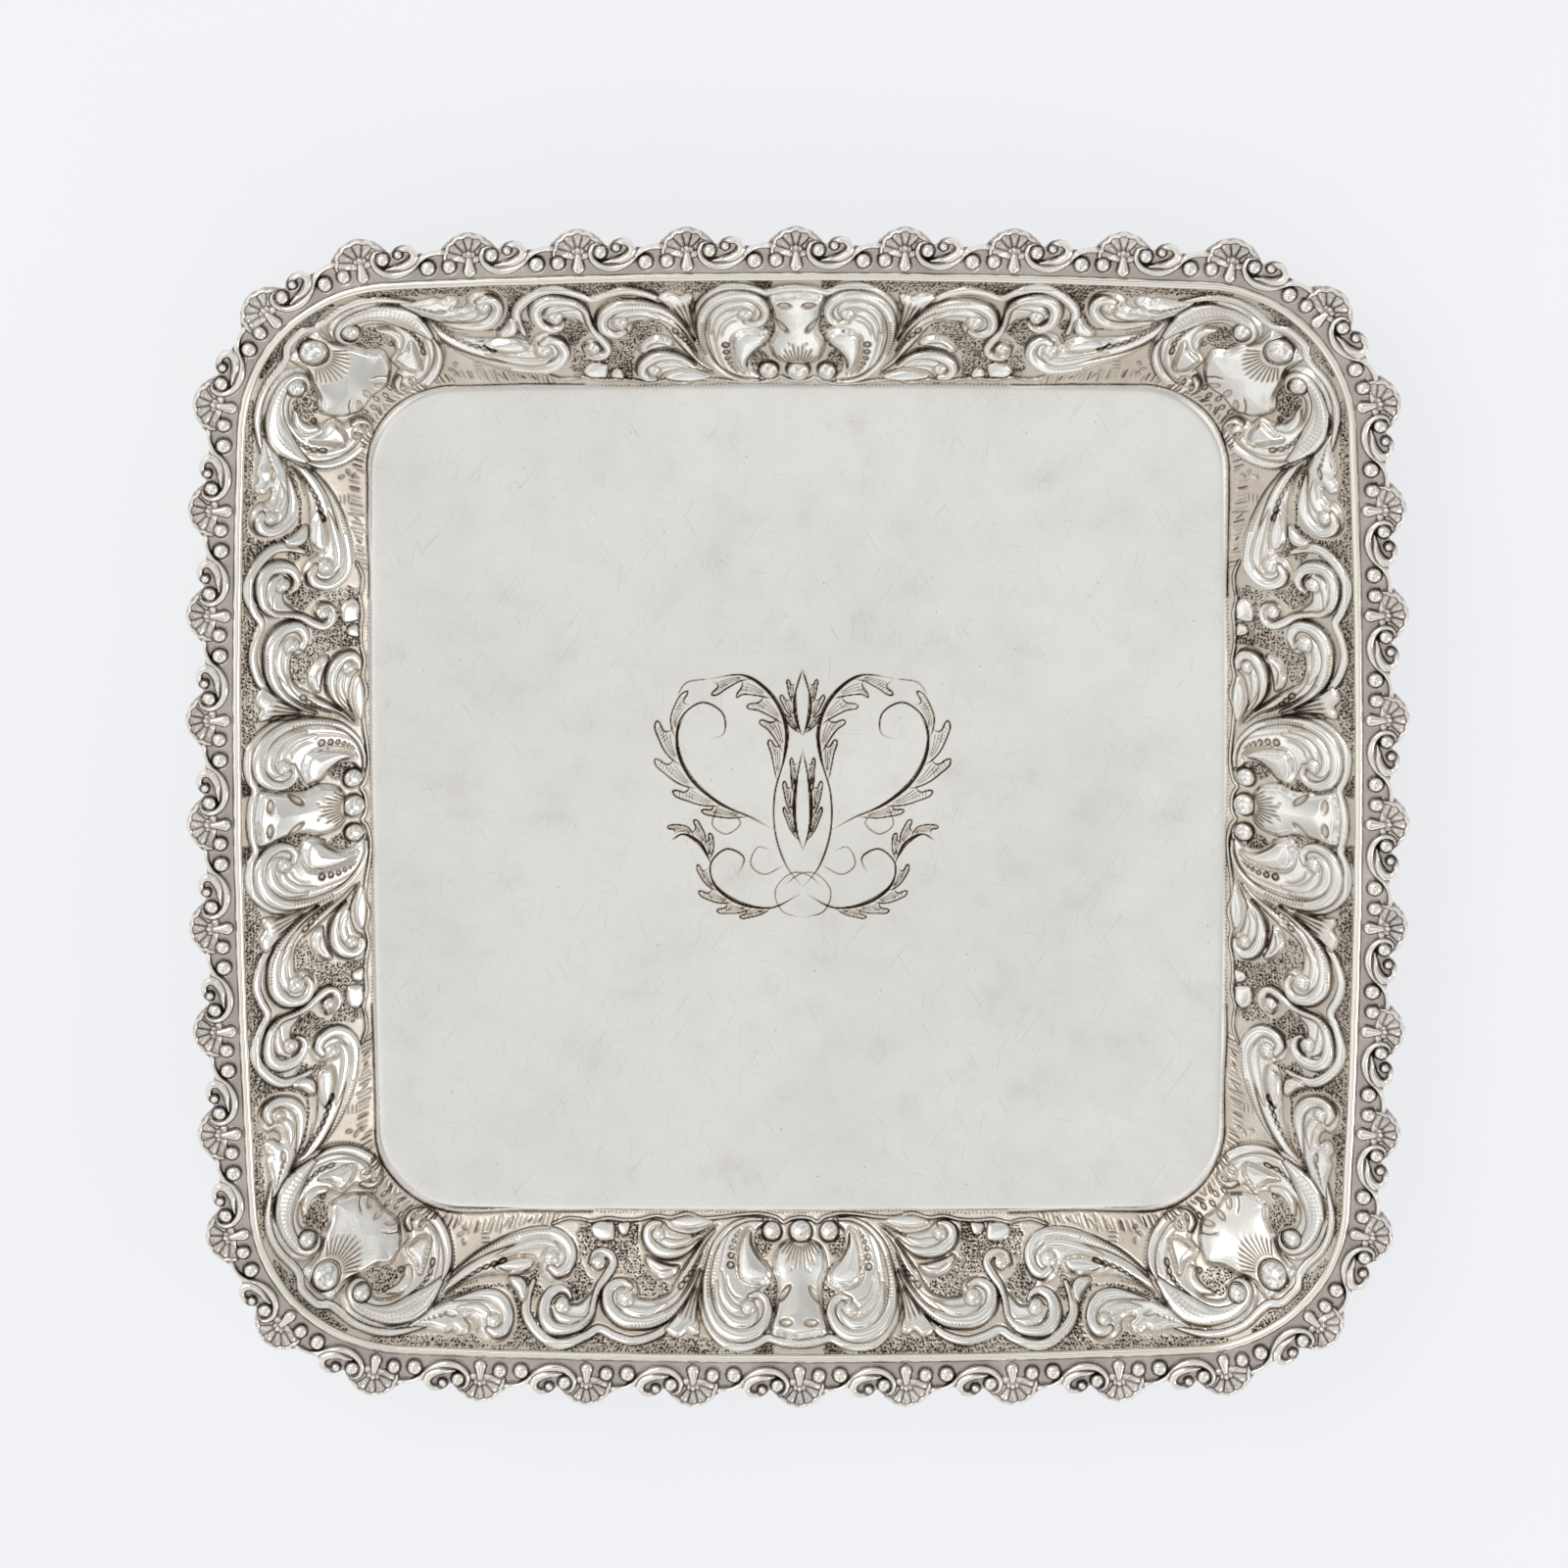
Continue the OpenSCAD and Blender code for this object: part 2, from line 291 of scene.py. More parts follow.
chased.matting([(51, 121), (53.3, 124.2), (56.5, 125.2), (58.3, 122.2), (61, 121.6), (56.8, 120.4),
    (55, 116.5), (53.5, 117.8), (52.6, 119.6)], 7, tone=0.4)
chased.matting([(63.5, 123.3), (64.6, 121), (64.6, 117.5), (66.5, 119.5), (69.5, 120), (67.5, 122.2),
    (67.3, 125)], 8, tone=0.38)
chased.matting([(64, 130), (67, 126.5), (70.5, 123.4), (72.5, 121.3), (84, 122.2), (91, 125.5),
    (84, 123.3), (74.5, 121.9), (71.5, 123.8), (70, 128), (70, 133), (66.5, 133)], 9, tone=0.38)
# Scalloped ridge that runs beside the stamped strip.
chased.band([(-2, 134.5), (0, 134.5), (3.5, 134.2), (7.6, 133.3), (10.5, 134.4), (14, 135),
    (18.3, 134.4), (22, 131.6), (24.4, 127.5), (25, 122)], (0.95, 0.95, 0.95, 0.9, 0.9, 0.9, 0.7, 0.3),
    1.0, root=0.5)
chased.band([(30.6, 128.6), (34.5, 131.7), (38, 133.2), (42, 133.8), (46, 132.9), (49.8, 131.4),
    (53, 132.8), (58, 134.2), (62, 133.6), (65.7, 131), (68, 127.8), (67.8, 124.5), (66.2, 121)],
    (0.35, 0.9, 1.0, 1.0, 1.0, 1.0, 1.1, 1.2, 1.3, 1.2, 0.6), 1.05, root=0.5)
chased.band([(93, 130.4), (97, 131.3), (101.5, 131.7), (106, 131), (110.6, 128.9), (114.2, 125.9),
    (116.6, 124.3), (119.6, 123.8), (121.9, 121.9), (123.8, 119.6), (124.3, 116.6)], (0.4, 0.9, 0.95,
    0.95, 0.95), 1.05, root=0.5)
# Line round the well, with a row of dots beside it.
chased.band([(-2, 107.3), (0, 106.9), (2.4, 107.2), (4.2, 108), (6, 106.9), (10, 106.2), (15, 106.5),
    (19, 107), (24, 107.2), (28, 106.3), (32, 107.1), (36, 106.6), (40, 107.3), (44, 107.5),
    (48, 107.2), (52, 107.9), (55, 107.4), (58, 107.3), (61.5, 108.5)], (0.4, 0.4, 0.35), 0.5,
    root=0.25, line=0.9)
for s in np.arange(0.4, 68, 0.95):
    chased.oval((s, 105.7 + 0.12 * np.sin(s * 1.7)), (0.3, 0.24), depth=0.15, dark=0.85)
# Shell in the middle of the side.
chased.panel([(-8, 133), (-6, 126.5), (-5.6, 122), (-6.8, 118), (-5, 113), (0, 111.5), (5, 113),
    (6.8, 118), (5.6, 122), (6, 126.5), (7.3, 131), (6.2, 132.8), (3.4, 133.1), (0, 133.6),
    (-3.4, 133.1)], 1.1, edge=1.6, crown=0.8)
for a in np.arange(-44, 45, 8.8):
    far = 8.6 - abs(a) / 20 + (1.2 if round(a / 8.8) % 2 else 0)
    (near_x, near_y), (far_x, far_y) = spoke((0, 109.9), a, 3.0, far)
    chased.groove([(near_x, near_y), (far_x * 0.92, far_y)], depth=0.25, width=0.24, dark=0.8)
for s in (1, -1):
    chased.oval((3.1 * s, 130.2), (1.9, 0.95), 0, 0.7)
    chased.oval((3.7 * s, 124), (2.5, 0.95), 50 * s, 0.7)
    chased.oval((2.1 * s, 118.9), (0.5, 0.28), 60 * s, 0.3)
# C scroll beside the shell.
chased.panel([(8, 107.2), (12, 107), (16.5, 108.3), (20.5, 112), (22.8, 117), (24, 122), (23.6, 127),
    (21, 131), (17, 133.2), (13, 133.8), (9.5, 132.8), (7, 129.8), (6.8, 126.5), (8.6, 124.2),
    (10, 123), (7.6, 121.4), (6.6, 119.6), (7.8, 117.5), (9.4, 115.8), (11, 113), (10.8, 110.5),
    (9, 108.8)], 1.0, edge=1.0, crown=0.3)
chased.panel([(6.9, 121), (8.8, 122.4), (12, 122.7), (14.8, 121.6), (16, 119.5), (15.9, 115.2),
    (14.6, 111.2), (12.8, 109.4), (11.5, 110), (11.3, 113), (9.6, 115.8), (7.4, 118.2)], 1.4, edge=1.8,
    crown=0.7, line=0.5)
chased.matting([(6.9, 113.2), (8.6, 115.9), (10.8, 113.8), (10.9, 111.2), (9.4, 110.6), (8.2, 112.6)],
    10, tone=0.4)
chased.band([(17.8, 110.4), (20, 115), (21, 120), (20.6, 125.5)], (0.5, 1.1, 1.2, 0.7), 1.35, root=1.0,
    line=0.45)
for k in range(21):
    chased.oval((19.4 + 2.4 * np.sin(k / 18 * 1.5), 112.1 + 13 * k / 18), (0.3, 0.22), 20, 0.25, 0.8)
chased.band([(9.5, 107.7), (13, 107.8), (17, 109.4), (20.6, 113), (22.6, 118), (23.3, 122.5),
    (22.7, 127), (20.2, 130.7), (16.2, 132.6), (12.4, 132.7), (9.4, 131.2), (7.8, 128.3), (8.2, 125.8),
    (10, 124.4), (12.4, 124.9)], (0.35, 0.5, 0.65, 0.75, 0.8, 0.9, 1.1, 1.3, 1.45, 1.5, 1.45, 1.35, 1.2,
    1.0, 0.6), 1.9)
chased.band([(20.8, 121.5), (20, 126.5), (17, 129.6), (13.4, 130.3), (11.2, 129.2), (10.9, 127.6)],
    (0.25, 0.8, 1.1, 1.2, 1.1, 0.7), 1.7, line=0.45)
chased.band([(19.6, 119.5), (19.2, 123.8), (17.2, 126.6), (14.9, 127.6), (13.2, 126.9)], (0.25, 0.8,
    1.05, 1.0, 0.6), 1.6, line=0.45)
chased.bead((12.5, 126.9), (1.9, 1.6), 1.9, line=0.45)
chased.groove([(14.2, 125.2), (16.2, 124.6), (17.8, 122.5), (18.3, 120.2)], 0.25, 0.2, 0.6)
chased.punch_row([(17.2, 118), (16.9, 114.6), (16.3, 112.8), (15.6, 111.3), (14.6, 110)], 7,
    (1.05, 0.95), (0.3, 0.25))
chased.hatch([(21.9, 115.5), (23, 120), (22.9, 125)], 0.75, 1.1, 80)
chased.bead((7, 110.1), (2.3, 2.2), 1.6)
chased.bead((0, 110), (2.8, 2.5), 2.0)
# Fluted fan between the scroll and the leaves.
chased.panel([(24.4, 119), (25.2, 124), (25.6, 128), (25, 131.6), (26.6, 132.3), (28.2, 131.6),
    (30.4, 132.9), (32.6, 132.3), (33.6, 131), (31, 128), (27.8, 124.2)], 0.75, edge=0.8, crown=0.2)
for a in (1, 8.5, 16, 23, 30):
    chased.groove(spoke((24.6, 119), a, 2.5, 11.5), 0.35, 0.32, 0.8)
# Upper leaf of the middle spray.
chased.panel([(20.5, 109.6), (23.5, 113.5), (25.5, 118), (27.8, 122.8), (31, 126.8), (35, 129.8),
    (39, 131), (43.5, 131.1), (47, 129.3), (49.2, 126), (49, 122.5), (47, 120.5), (44, 119.9),
    (41, 120.8), (39.9, 122.8), (40.2, 124.2), (36.5, 124.6), (33.3, 123.6), (31.3, 121.5),
    (29.5, 118.5), (27, 115.3), (23.5, 111.5)], 1.0, edge=1.2, crown=0.6)
chased.band([(24.8, 118.5), (27.6, 123.2), (31.5, 127.2), (36, 129.5), (40.5, 129.9), (44.4, 129.3),
    (47.2, 127), (47.8, 124), (46.6, 122), (44.2, 121.3), (42.2, 122.2)], (0.2, 0.4, 0.7, 1.0, 1.3, 1.5,
    1.65, 1.6, 1.4, 1.2, 0.7), 1.95)
chased.band([(33.5, 126), (37.5, 127.7), (41.2, 127.7), (43.9, 126.4), (44.6, 124.8)], (0.2, 0.8, 1.2,
    1.2, 0.8), 1.75, line=0.45)
chased.bead((43.3, 124.6), (2.1, 2.0), 2.2, line=0.45)
chased.groove([(29.3, 122.4), (32.6, 124.9), (36.8, 126)], 0.25, 0.22, 0.7)
chased.hatch([(26.6, 121), (29.6, 125), (33.6, 128)], 0.8, 0.9, 80)
chased.punch_row([(24.2, 115), (25.6, 117.3), (27.2, 119.5), (29.6, 122)], 8, (0.3, 0.3), (0.85, 1.15),
    depth=0.45)
# Middle lobe, and lower leaf with the plain lobe under it.
chased.panel([(29.8, 117.4), (31, 119.4), (34.2, 120.3), (37.3, 118.8), (39, 116.6), (38.3, 115),
    (35.5, 116.2), (32.5, 117)], 1.2, edge=1.1, crown=0.4)
chased.groove([(31.5, 118.3), (35, 118.6), (37.5, 116.9)], 0.25, 0.22, 0.7)
chased.panel([(21, 108), (26, 109.6), (30, 109.4), (32.4, 108), (30, 107), (25, 106.8)], 0.6, edge=0.8,
    crown=0.2, line=0.7)
chased.panel([(20, 108.5), (23.5, 111.2), (26.5, 114), (30, 115.9), (34, 116.2), (37.5, 114.8),
    (39.8, 111.8), (39.3, 109), (36.7, 107.4), (33.8, 107.9), (32.4, 109.4), (29.5, 110.4), (26, 110.6),
    (23, 109.4)], 1.0, edge=1.1, crown=0.4)
chased.band([(24.5, 112), (28, 114.3), (31.5, 115), (35, 114.4), (37.6, 112.5), (38.2, 110.2),
    (36.9, 108.7), (35, 108.5)], (0.2, 0.5, 0.85, 1.15, 1.35, 1.3, 1.15, 0.7), 1.85)
chased.band([(26.5, 111.8), (30, 112.9), (33, 112.6), (35, 111.5)], (0.2, 0.8, 1.05, 0.7), 1.6, line=0.45)
chased.bead((35.2, 110.6), (1.6, 1.5), 1.9, line=0.45)
chased.punch_row([(20.8, 109), (22.2, 109.6), (23.8, 110.3), (26, 111)], 6, (0.25, 0.2), (0.55, 1.0))
# Ticks and small scales between the leaves and the scroll pair.
for k in range(6):
    chased.groove([(40.3, 107.6 + 0.8 * k), (42, 107.8 + 0.8 * k)], 0.25, 0.2, 0.8, taper=False)
for k in range(4):
    chased.groove([(52.8, 110.2 - 0.75 * k), (54.6, 110.0 - 0.75 * k)], 0.25, 0.2, 0.8, taper=False)
for k in range(7):
    chased.groove([(43.2 + 1.5 * k, 116.5 - 0.2 * k), (43 + 1.5 * k, 111.8 - 0.1 * k)], 0.22, 0.2, 0.7)
chased.panel([(42.4, 108), (43.2, 110.6), (45, 110.5), (45.8, 108.4), (44.2, 107.9)], 0.5, edge=0.5)
chased.panel([(46.6, 108.2), (46.4, 111.6), (49, 112.3), (51.4, 111.4), (52.4, 109.4), (50.6, 107.9),
    (48, 107.9)], 0.6, edge=0.7)
# Pair of S scrolls.
chased.panel([(51.3, 129.6), (50.8, 126), (50.4, 122.6), (52.2, 123.6), (54.5, 125.6), (57, 125.6),
    (59, 124.5), (61.5, 126), (61, 129.5), (57, 131), (53.5, 130.9)], 1.1, edge=1.0, crown=0.3)
chased.band([(56.8, 124.7), (57.8, 123.3), (59.8, 122.8), (62.2, 124), (63.5, 126.6), (63.2, 129.2),
    (61, 131), (57.6, 131.4), (54.2, 130.7), (51.8, 128.6), (51, 125.5), (49.9, 122.3), (47.8, 119.6),
    (46.5, 117.2), (47.2, 115.3), (49.2, 114.7), (51.2, 115.3), (52, 117)], (0.5, 0.9, 1.2, 1.55, 1.6,
    1.5, 1.3, 1.1, 1.0, 0.85, 0.8, 0.8, 0.95, 1.1, 1.1, 1.05, 1.0, 0.6), 1.9)
chased.band([(53.6, 129.2), (57, 129.4), (59.8, 128.4), (61, 126.6)], (0.2, 0.8, 1.1, 0.8), 1.7, line=0.45)
chased.bead((58.8, 126.1), (1.9, 1.8), 2.0, line=0.5)
chased.bead((50, 116.9), (1.8, 1.7), 1.9, line=0.5)
# Leaves of the corner spray.
chased.panel([(68, 124.5), (69.6, 125.3), (70.9, 123.2), (72.6, 121.2), (72.4, 119.8), (69.3, 119.9),
    (67.6, 121.6)], 1.1, edge=1.0, crown=0.4)
chased.panel([(91.5, 125), (88.5, 120.8), (85, 117.3), (80, 113.9), (74, 111.3), (68, 109.8),
    (63, 109.2), (59, 110.2), (56, 112.8), (55.4, 116), (56.8, 119.2), (60, 121.2), (63.5, 119.8),
    (64.8, 117.2), (66, 118.6), (69, 119.4), (74, 119.4), (79, 119.7), (84, 121.1), (88.5, 123.5)], 1.0,
    edge=1.2, crown=0.45)
chased.panel([(65.6, 116.2), (66.6, 118.6), (69.5, 119.5), (74, 119.1), (76.5, 117.7), (73, 116),
    (69, 115.4)], 1.5, edge=1.2, crown=0.4, line=0.6)
chased.band([(88, 120.3), (84.8, 117.9), (79, 114.6), (72, 112.1), (66, 110.8), (61.3, 110.9),
    (58.3, 112.7), (57, 115.5), (58, 118.3), (60.2, 119.5), (62.2, 118.4)], (0.2, 0.35, 0.65, 0.9, 1.2,
    1.45, 1.55, 1.6, 1.5, 1.3, 0.8), 1.95)
chased.band([(76, 115.6), (70, 113.9), (65.5, 113), (62.2, 113.2), (60.4, 114.8)], (0.2, 0.8, 1.1, 1.2,
    0.8), 1.75, line=0.45)
chased.bead((62, 116), (2.0, 1.8), 2.1, line=0.45)
chased.punch_row([(74.2, 116.6), (77.4, 117.6), (80, 118.5), (82.8, 119.9), (85.6, 121.6), (88, 123.4)],
    12, (0.7, 1.25), (0.22, 0.25), depth=0.45)
chased.hatch([(70, 111.6), (76, 113.4), (82, 116.2), (87, 120)], 0.8, 0.9, 80)
chased.panel([(92, 126.2), (88, 124.6), (83, 123), (78, 122.3), (74.5, 122.8), (72, 124.8), (70.9, 128),
    (71.8, 131.2), (74.5, 133.1), (77.8, 133), (80, 131.2), (79.9, 129.8), (81.2, 128.5), (83.4, 128.5),
    (82, 130), (82.6, 131.7), (84.7, 132.1), (86.2, 131.1), (88, 131.7), (91, 131), (94, 130.6),
    (97, 130.5), (95.6, 128.9), (93.5, 127.5)], 1.0, edge=1.1, crown=0.5)
chased.band([(87, 125.1), (83, 124.3), (79, 123.8), (75.8, 124.3), (73.6, 126.2), (72.7, 128.6),
    (73.5, 130.8), (75.6, 131.7), (77.6, 131)], (0.2, 0.6, 1.0, 1.35, 1.5, 1.5, 1.4, 1.25, 0.7), 1.95)
chased.band([(85, 126.6), (81, 126.4), (78.4, 127.4), (77, 129)], (0.2, 0.85, 1.05, 0.7), 1.7, line=0.45)
chased.bead((76.2, 129), (1.7, 1.6), 1.9, line=0.45)
chased.oval((87.2, 128.1), (1.7, 0.65), -8, 0.4)
chased.punch_row([(89.4, 128.4), (91.6, 129), (94.6, 129.8)], 6, (0.45, 0.6), (0.2, 0.2), depth=0.35)
chased.hatch([(84, 123.6), (88, 125.4), (91.5, 127)], 0.8, 0.8, 80)
# Big C scroll of the corner.
chased.panel([(96.3, 103.7), (92.5, 104.2), (89.4, 106.6), (87.2, 110), (86.2, 113.8), (86.2, 117),
    (87.6, 120.6), (90.5, 124.8), (94.5, 128.3), (99, 130.2), (104, 130.5), (108.5, 129.2),
    (112.3, 126.4), (113.7, 123), (112.2, 119.8), (108.7, 118.9), (106, 120.8), (105.6, 123.4),
    (103, 124.2), (99.8, 123.6), (98.6, 121.5), (99, 118.5), (98, 116), (99.2, 113.4), (97.4, 111),
    (97.8, 109.4), (99, 107), (98.2, 104.8)], 1.0, edge=1.2, crown=0.5)
chased.band([(88.6, 119.5), (92.2, 123.6), (96.6, 126.6), (101.5, 127.9), (106.3, 127.2), (110, 125),
    (111.4, 122.4), (110.4, 120.6), (108.6, 120.4), (107.4, 121.6)], (0.3, 1.4, 2.5, 2.8, 2.3, 1.75,
    1.5, 1.35, 1.2, 0.8), 2.0)
chased.bead((108.8, 122.5), (2.3, 2.2), 2.5)
chased.band([(97.2, 109), (97.8, 107), (96.3, 105.5), (93.5, 105.6), (90.8, 107.6), (88.8, 110.8),
    (87.8, 114.4), (88, 117.6), (89.2, 120.4)], (0.5, 0.95, 1.15, 1.2, 1.2, 1.2, 1.1, 0.9, 0.3), 1.9)
chased.band([(91.4, 120.4), (90.8, 117), (90.9, 113.4), (92, 110.4), (93.8, 108.4)], (0.2, 0.7, 0.95,
    1.0, 0.7), 1.65, line=0.45)
chased.bead((95, 107.6), (1.7, 1.6), 1.9, line=0.45)
chased.panel([(91.9, 111.4), (92.6, 115), (94.4, 119.6), (96, 116.5), (98.2, 113.6), (96.2, 111.3),
    (93.8, 110.4)], 1.5, edge=1.4, crown=0.4, line=0.6)
chased.band([(102.5, 122.9), (99.6, 122.2), (97.6, 120.2), (97.5, 118)], (0.4, 1.0, 1.2, 0.9), 1.7,
    line=0.6)
chased.oval((99, 118), (0.9, 0.8), 0, 0.5, 0.7)
chased.punch_row([(91.6, 116.6), (92.3, 119.2), (93.6, 121.1), (95.2, 122.6), (97, 123.7)], 8,
    (0.75, 1.2), (0.25, 0.22), depth=0.45)
for ring in (0.4, 1.3, 2.2):
    for k in range(20 - 2 * int(ring)):
        a = np.radians(140 - 5.2 * k)
        chased.oval((102.2 + (12.4 + ring) * np.cos(a) * 0.86, 115.6 + (11.6 + ring) * np.sin(a)),
            (0.22, 0.2), 0, 0.14, 0.5)
chased.matting([(99.6, 119.2), (101.3, 121.9), (104.6, 123.2), (105.8, 121.4), (106.3, 119.6),
    (108, 118.5), (105, 117), (101.8, 117)], 11, tone=0.38)
# Shell in the corner, with its bead.
chased.panel([(108.2, 118.4), (112.6, 120), (116, 123.4), (119, 121), (121, 119), (123.4, 116),
    (120, 112.6), (118.4, 108.2), (117, 105), (113, 99), (108.4, 99.4), (106.2, 100.2), (103.6, 103.6),
    (100.2, 106.2), (99.4, 108.4), (99.2, 112), (101, 116.4), (105, 117)], 1.2, edge=1.5, crown=0.9)
for a in np.arange(-44, 45, 8):
    far = 11 - abs(a) / 16 + (1.8 if round(a / 8) % 2 else 0)
    chased.groove(spoke((117.8, 117.8), 225 - a, 3.9, far), depth=0.25, width=0.24, dark=0.8)
chased.groove([(99.6, 109.4), (102.4, 109.9), (104.8, 109.4)], 0.3, 0.24, 0.8)
chased.oval((102, 107.3), (1.9, 0.9), 10, 0.5, 0.5)
chased.oval((105.3, 105.3), (1.7, 0.85), 45, 0.5, 0.5)
chased.oval((107.3, 102), (0.9, 1.9), -10, 0.5, 0.5)
chased.bead((117.8, 117.8), (3.4, 3.4), 2.6)
# Lines of dots along the leaves and scrolls.
for line in (
    [(22, 110.5), (26, 114.4), (29, 118), (32, 122)],
    [(26.5, 122.6), (31, 127.7), (36, 130.3), (42, 130.9)],
    [(62, 109.9), (68, 110.5), (74, 112), (80, 114.6), (86, 118.5)],
    [(92, 125.5), (88, 124.1), (83, 122.7), (78, 122.1)],
    [(80, 120.6), (85, 122), (90, 125)],
    [(22.4, 112.8), (24, 117.4), (24.4, 122)],
    [(50.2, 124), (51, 128.4), (53.6, 130.9)],
    [(87.4, 109), (86, 113.8), (86.3, 118), (89, 123), (93, 127.2)],
    [(100, 130.6), (105, 130.6), (110, 128.6)],
):
    chased.dots(line, 0.85)
# Slanted strokes and small dents between the leaves and the well, and the line round its corner.
uneven = np.random.default_rng(7)
turn_at = well_shape[0] - well_shape[2]  # where the well's side runs into its round corner


def off_corner(turn, far):
    """A point a distance from the middle of the well's round corner, on a heading in radians."""
    return turn_at + far * np.sin(turn), turn_at + far * np.cos(turn)


round_corner = [off_corner(a, 21.6) for a in np.linspace(0, 0.9, 12)]
well_line = [(52, 105.6), (60, 105.6), (70, 105.6), (78, 105.6)] + round_corner
chased.groove(well_line, 0.3, 0.3, 0.9, taper=False)
for s in np.arange(60, 84, 1.15):
    s, lean, long = uneven.normal((s, 0.7, 1.5), (0.2, 0.25, 0.4))
    top = 107.4 + 0.08 * (s - 64)
    chased.groove([(s - lean, top - long), (s + lean, top + long)], 0.3, 0.24, uneven.uniform(0.5, 0.95))
for a in np.arange(0.0, 0.85, 0.05):
    turn, near, far = uneven.normal((a, 22.3, 25), (0.01, 0.2, 0.6))
    chased.groove([off_corner(turn, near), off_corner(turn + 0.05, far)], 0.3, 0.25,
        uneven.uniform(0.5, 0.95))
for a, far in ((0.42, 26.2), (0.52, 25.6), (0.62, 26.6), (0.7, 25.4), (0.785, 26.4)):
    chased.oval(off_corner(a, far), (0.6, 1.1), -np.degrees(a), 0.5, 0.7)
for k in range(150):
    chased.oval(off_corner(0.9 * k / 150, 21.3 + uneven.uniform(-0.1, 0.5)), (0.22, 0.2), 0, 0.15, 0.85)
for s in np.arange(66, 84, 0.6):
    chased.oval((s, 105.3 + uneven.uniform(-0.2, 0.5)), (0.22, 0.2), 0, 0.15, 0.85)
for k in range(3):
    chased.groove([(77.1, 112.2 - k), (78.9, 112.2 - k)], 0.25, 0.18, 0.8, taper=False)
chased.oval((83.6, 111.9), (0.5, 0.9), 10, 0.4)
chased.oval((84.6, 110.3), (0.8, 0.5), 20, 0.4)
chased.oval((83.4, 108.9), (0.8, 0.45), -30, 0.4)
chased.tint_ground(0.3, 0.32)
# The well itself is wiped clean: no tarnish inside its outline.
past = np.hypot(np.maximum(chased.x[:, None] - turn_at, 0), np.maximum(chased.y[None, :] - turn_at, 0))
past -= well_shape[2]
chased.dark *= ease((past + 0.9) / 1.1)


def eighth(shape, f):
    """Points of a bowed square's first eighth: f is 0 to 1 on the side and 1 to 2 on the corner."""
    half, bow, corner = shape
    k, d = bow - half, bow - corner
    c = (np.sqrt(2 * d * d - k * k) - k) / 2
    turn = np.arctan2(c, c + bow - half)
    heading = np.where(f < 1, turn * f, turn + (np.pi / 4 - turn) * (f - 1))
    side = np.stack([bow * np.sin(heading), half - bow + bow * np.cos(heading)], -1)
    arc = np.stack([c + corner * np.sin(heading), c + corner * np.cos(heading)], -1)
    return np.where((f < 1)[:, None], side, arc)


def wander(x, y, phase):
    """A slow unevenness, from -1 to 1, such as hand work has."""
    return 0.5 * np.sin(x / 7.3 + y / 11.9 + phase) + 0.3 * np.sin(y / 5.1 - x / 9.7 + 2 * phase) \
        + 0.2 * np.sin(x / 3.1 + 1.3 * phase) * np.sin(y / 3.7 - phase)


def folded(field, x, y):
    """The chased pattern at any place on the tray: each eighth repeats it, mirrored."""
    u, v = np.abs(x + 0.35 * wander(x, y, 1)), np.abs(y + 0.35 * wander(x, y, 4))
    return chased.read(field, np.minimum(u, v), np.maximum(u, v))


def piece_from(name, bm):
    """An object of its own from a finished bmesh."""
    mesh = bpy.data.meshes.new(name)
    bm.to_mesh(mesh)
    bm.free()
    piece = bpy.data.objects.new(name, mesh)
    bpy.context.scene.collection.objects.link(piece)
    return piece


def note(piece, label, values):
    """Keeps one value for each point of a piece, for its material to read."""
    held = piece.data.attributes.new(label, "FLOAT", "POINT")
    held.data.foreach_set("value", np.asarray(values, np.float32))


def strip(name, place, fields):
    """A closed length of metal. place[i, j] is where column i of a sheet's row j goes; the sheet
    is rolled up so that its first and last rows meet. The first and last columns only lend
    their slope, so that two lengths meet smoothly."""
    columns, rows = place.shape[0] - 2, place.shape[1]
    along = place[2:] - place[:-2]
    round_it = np.roll(place, -1, 1)[1:-1] - np.roll(place, 1, 1)[1:-1]
    normal = np.cross(along, round_it)
    normal /= np.maximum(np.linalg.norm(normal, axis=-1, keepdims=True), 1e-12)
    bm = bmesh.new()
    bmesh.ops.create_grid(bm, x_segments=columns - 1, y_segments=rows - 1, size=1)
    rims = [e for e in bm.edges if e.is_boundary and abs(e.verts[0].co.y + e.verts[1].co.y) > 1.999]
    bmesh.ops.bridge_loops(bm, edges=rims)
    bmesh.ops.holes_fill(bm, edges=[e for e in bm.edges if e.is_boundary], sides=0)
    grid = np.array([v.co for v in bm.verts])[:, :2]
    i = np.rint((grid[:, 0] + 1) / 2 * (columns - 1)).astype(int)
    j = np.rint((grid[:, 1] + 1) / 2 * (rows - 1)).astype(int)
    for v, co in zip(bm.verts, place[1:-1][i, j] * mm):
        v.co = co
    bmesh.ops.recalc_face_normals(bm, faces=bm.faces)
    piece = piece_from(name, bm)
    mesh = piece.data
    mesh.shade_smooth()
    face = mesh.polygons[0]
    if np.dot(normal[i, j][face.vertices[0]], face.normal) < 0:
        normal = -normal
    mesh.normals_split_custom_set_from_vertices(normal[i, j].tolist())
    for label, field in fields.items():
        note(piece, label, field[1:-1][i, j])
    return piece


def colour(code):
    """An sRGB hex colour as linear light."""
    parts = [int(code[k : k + 2], 16) / 255 for k in (1, 3, 5)]
    return [p / 12.92 if p < 0.04045 else ((p + 0.055) / 1.055) ** 2.4 for p in parts] + [1]


def add(tree, kind, inputs, **settings):
    """Adds a node with its settings, and its inputs as values or as links."""
    made = tree.nodes.new("ShaderNode" + kind)
    for key, value in settings.items():
        setattr(made, key, value)
    for key, value in inputs.items():
        if isinstance(value, bpy.types.NodeSocket):
            tree.links.new(value, made.inputs[key])
        else:
            made.inputs[key].default_value = value
    return made


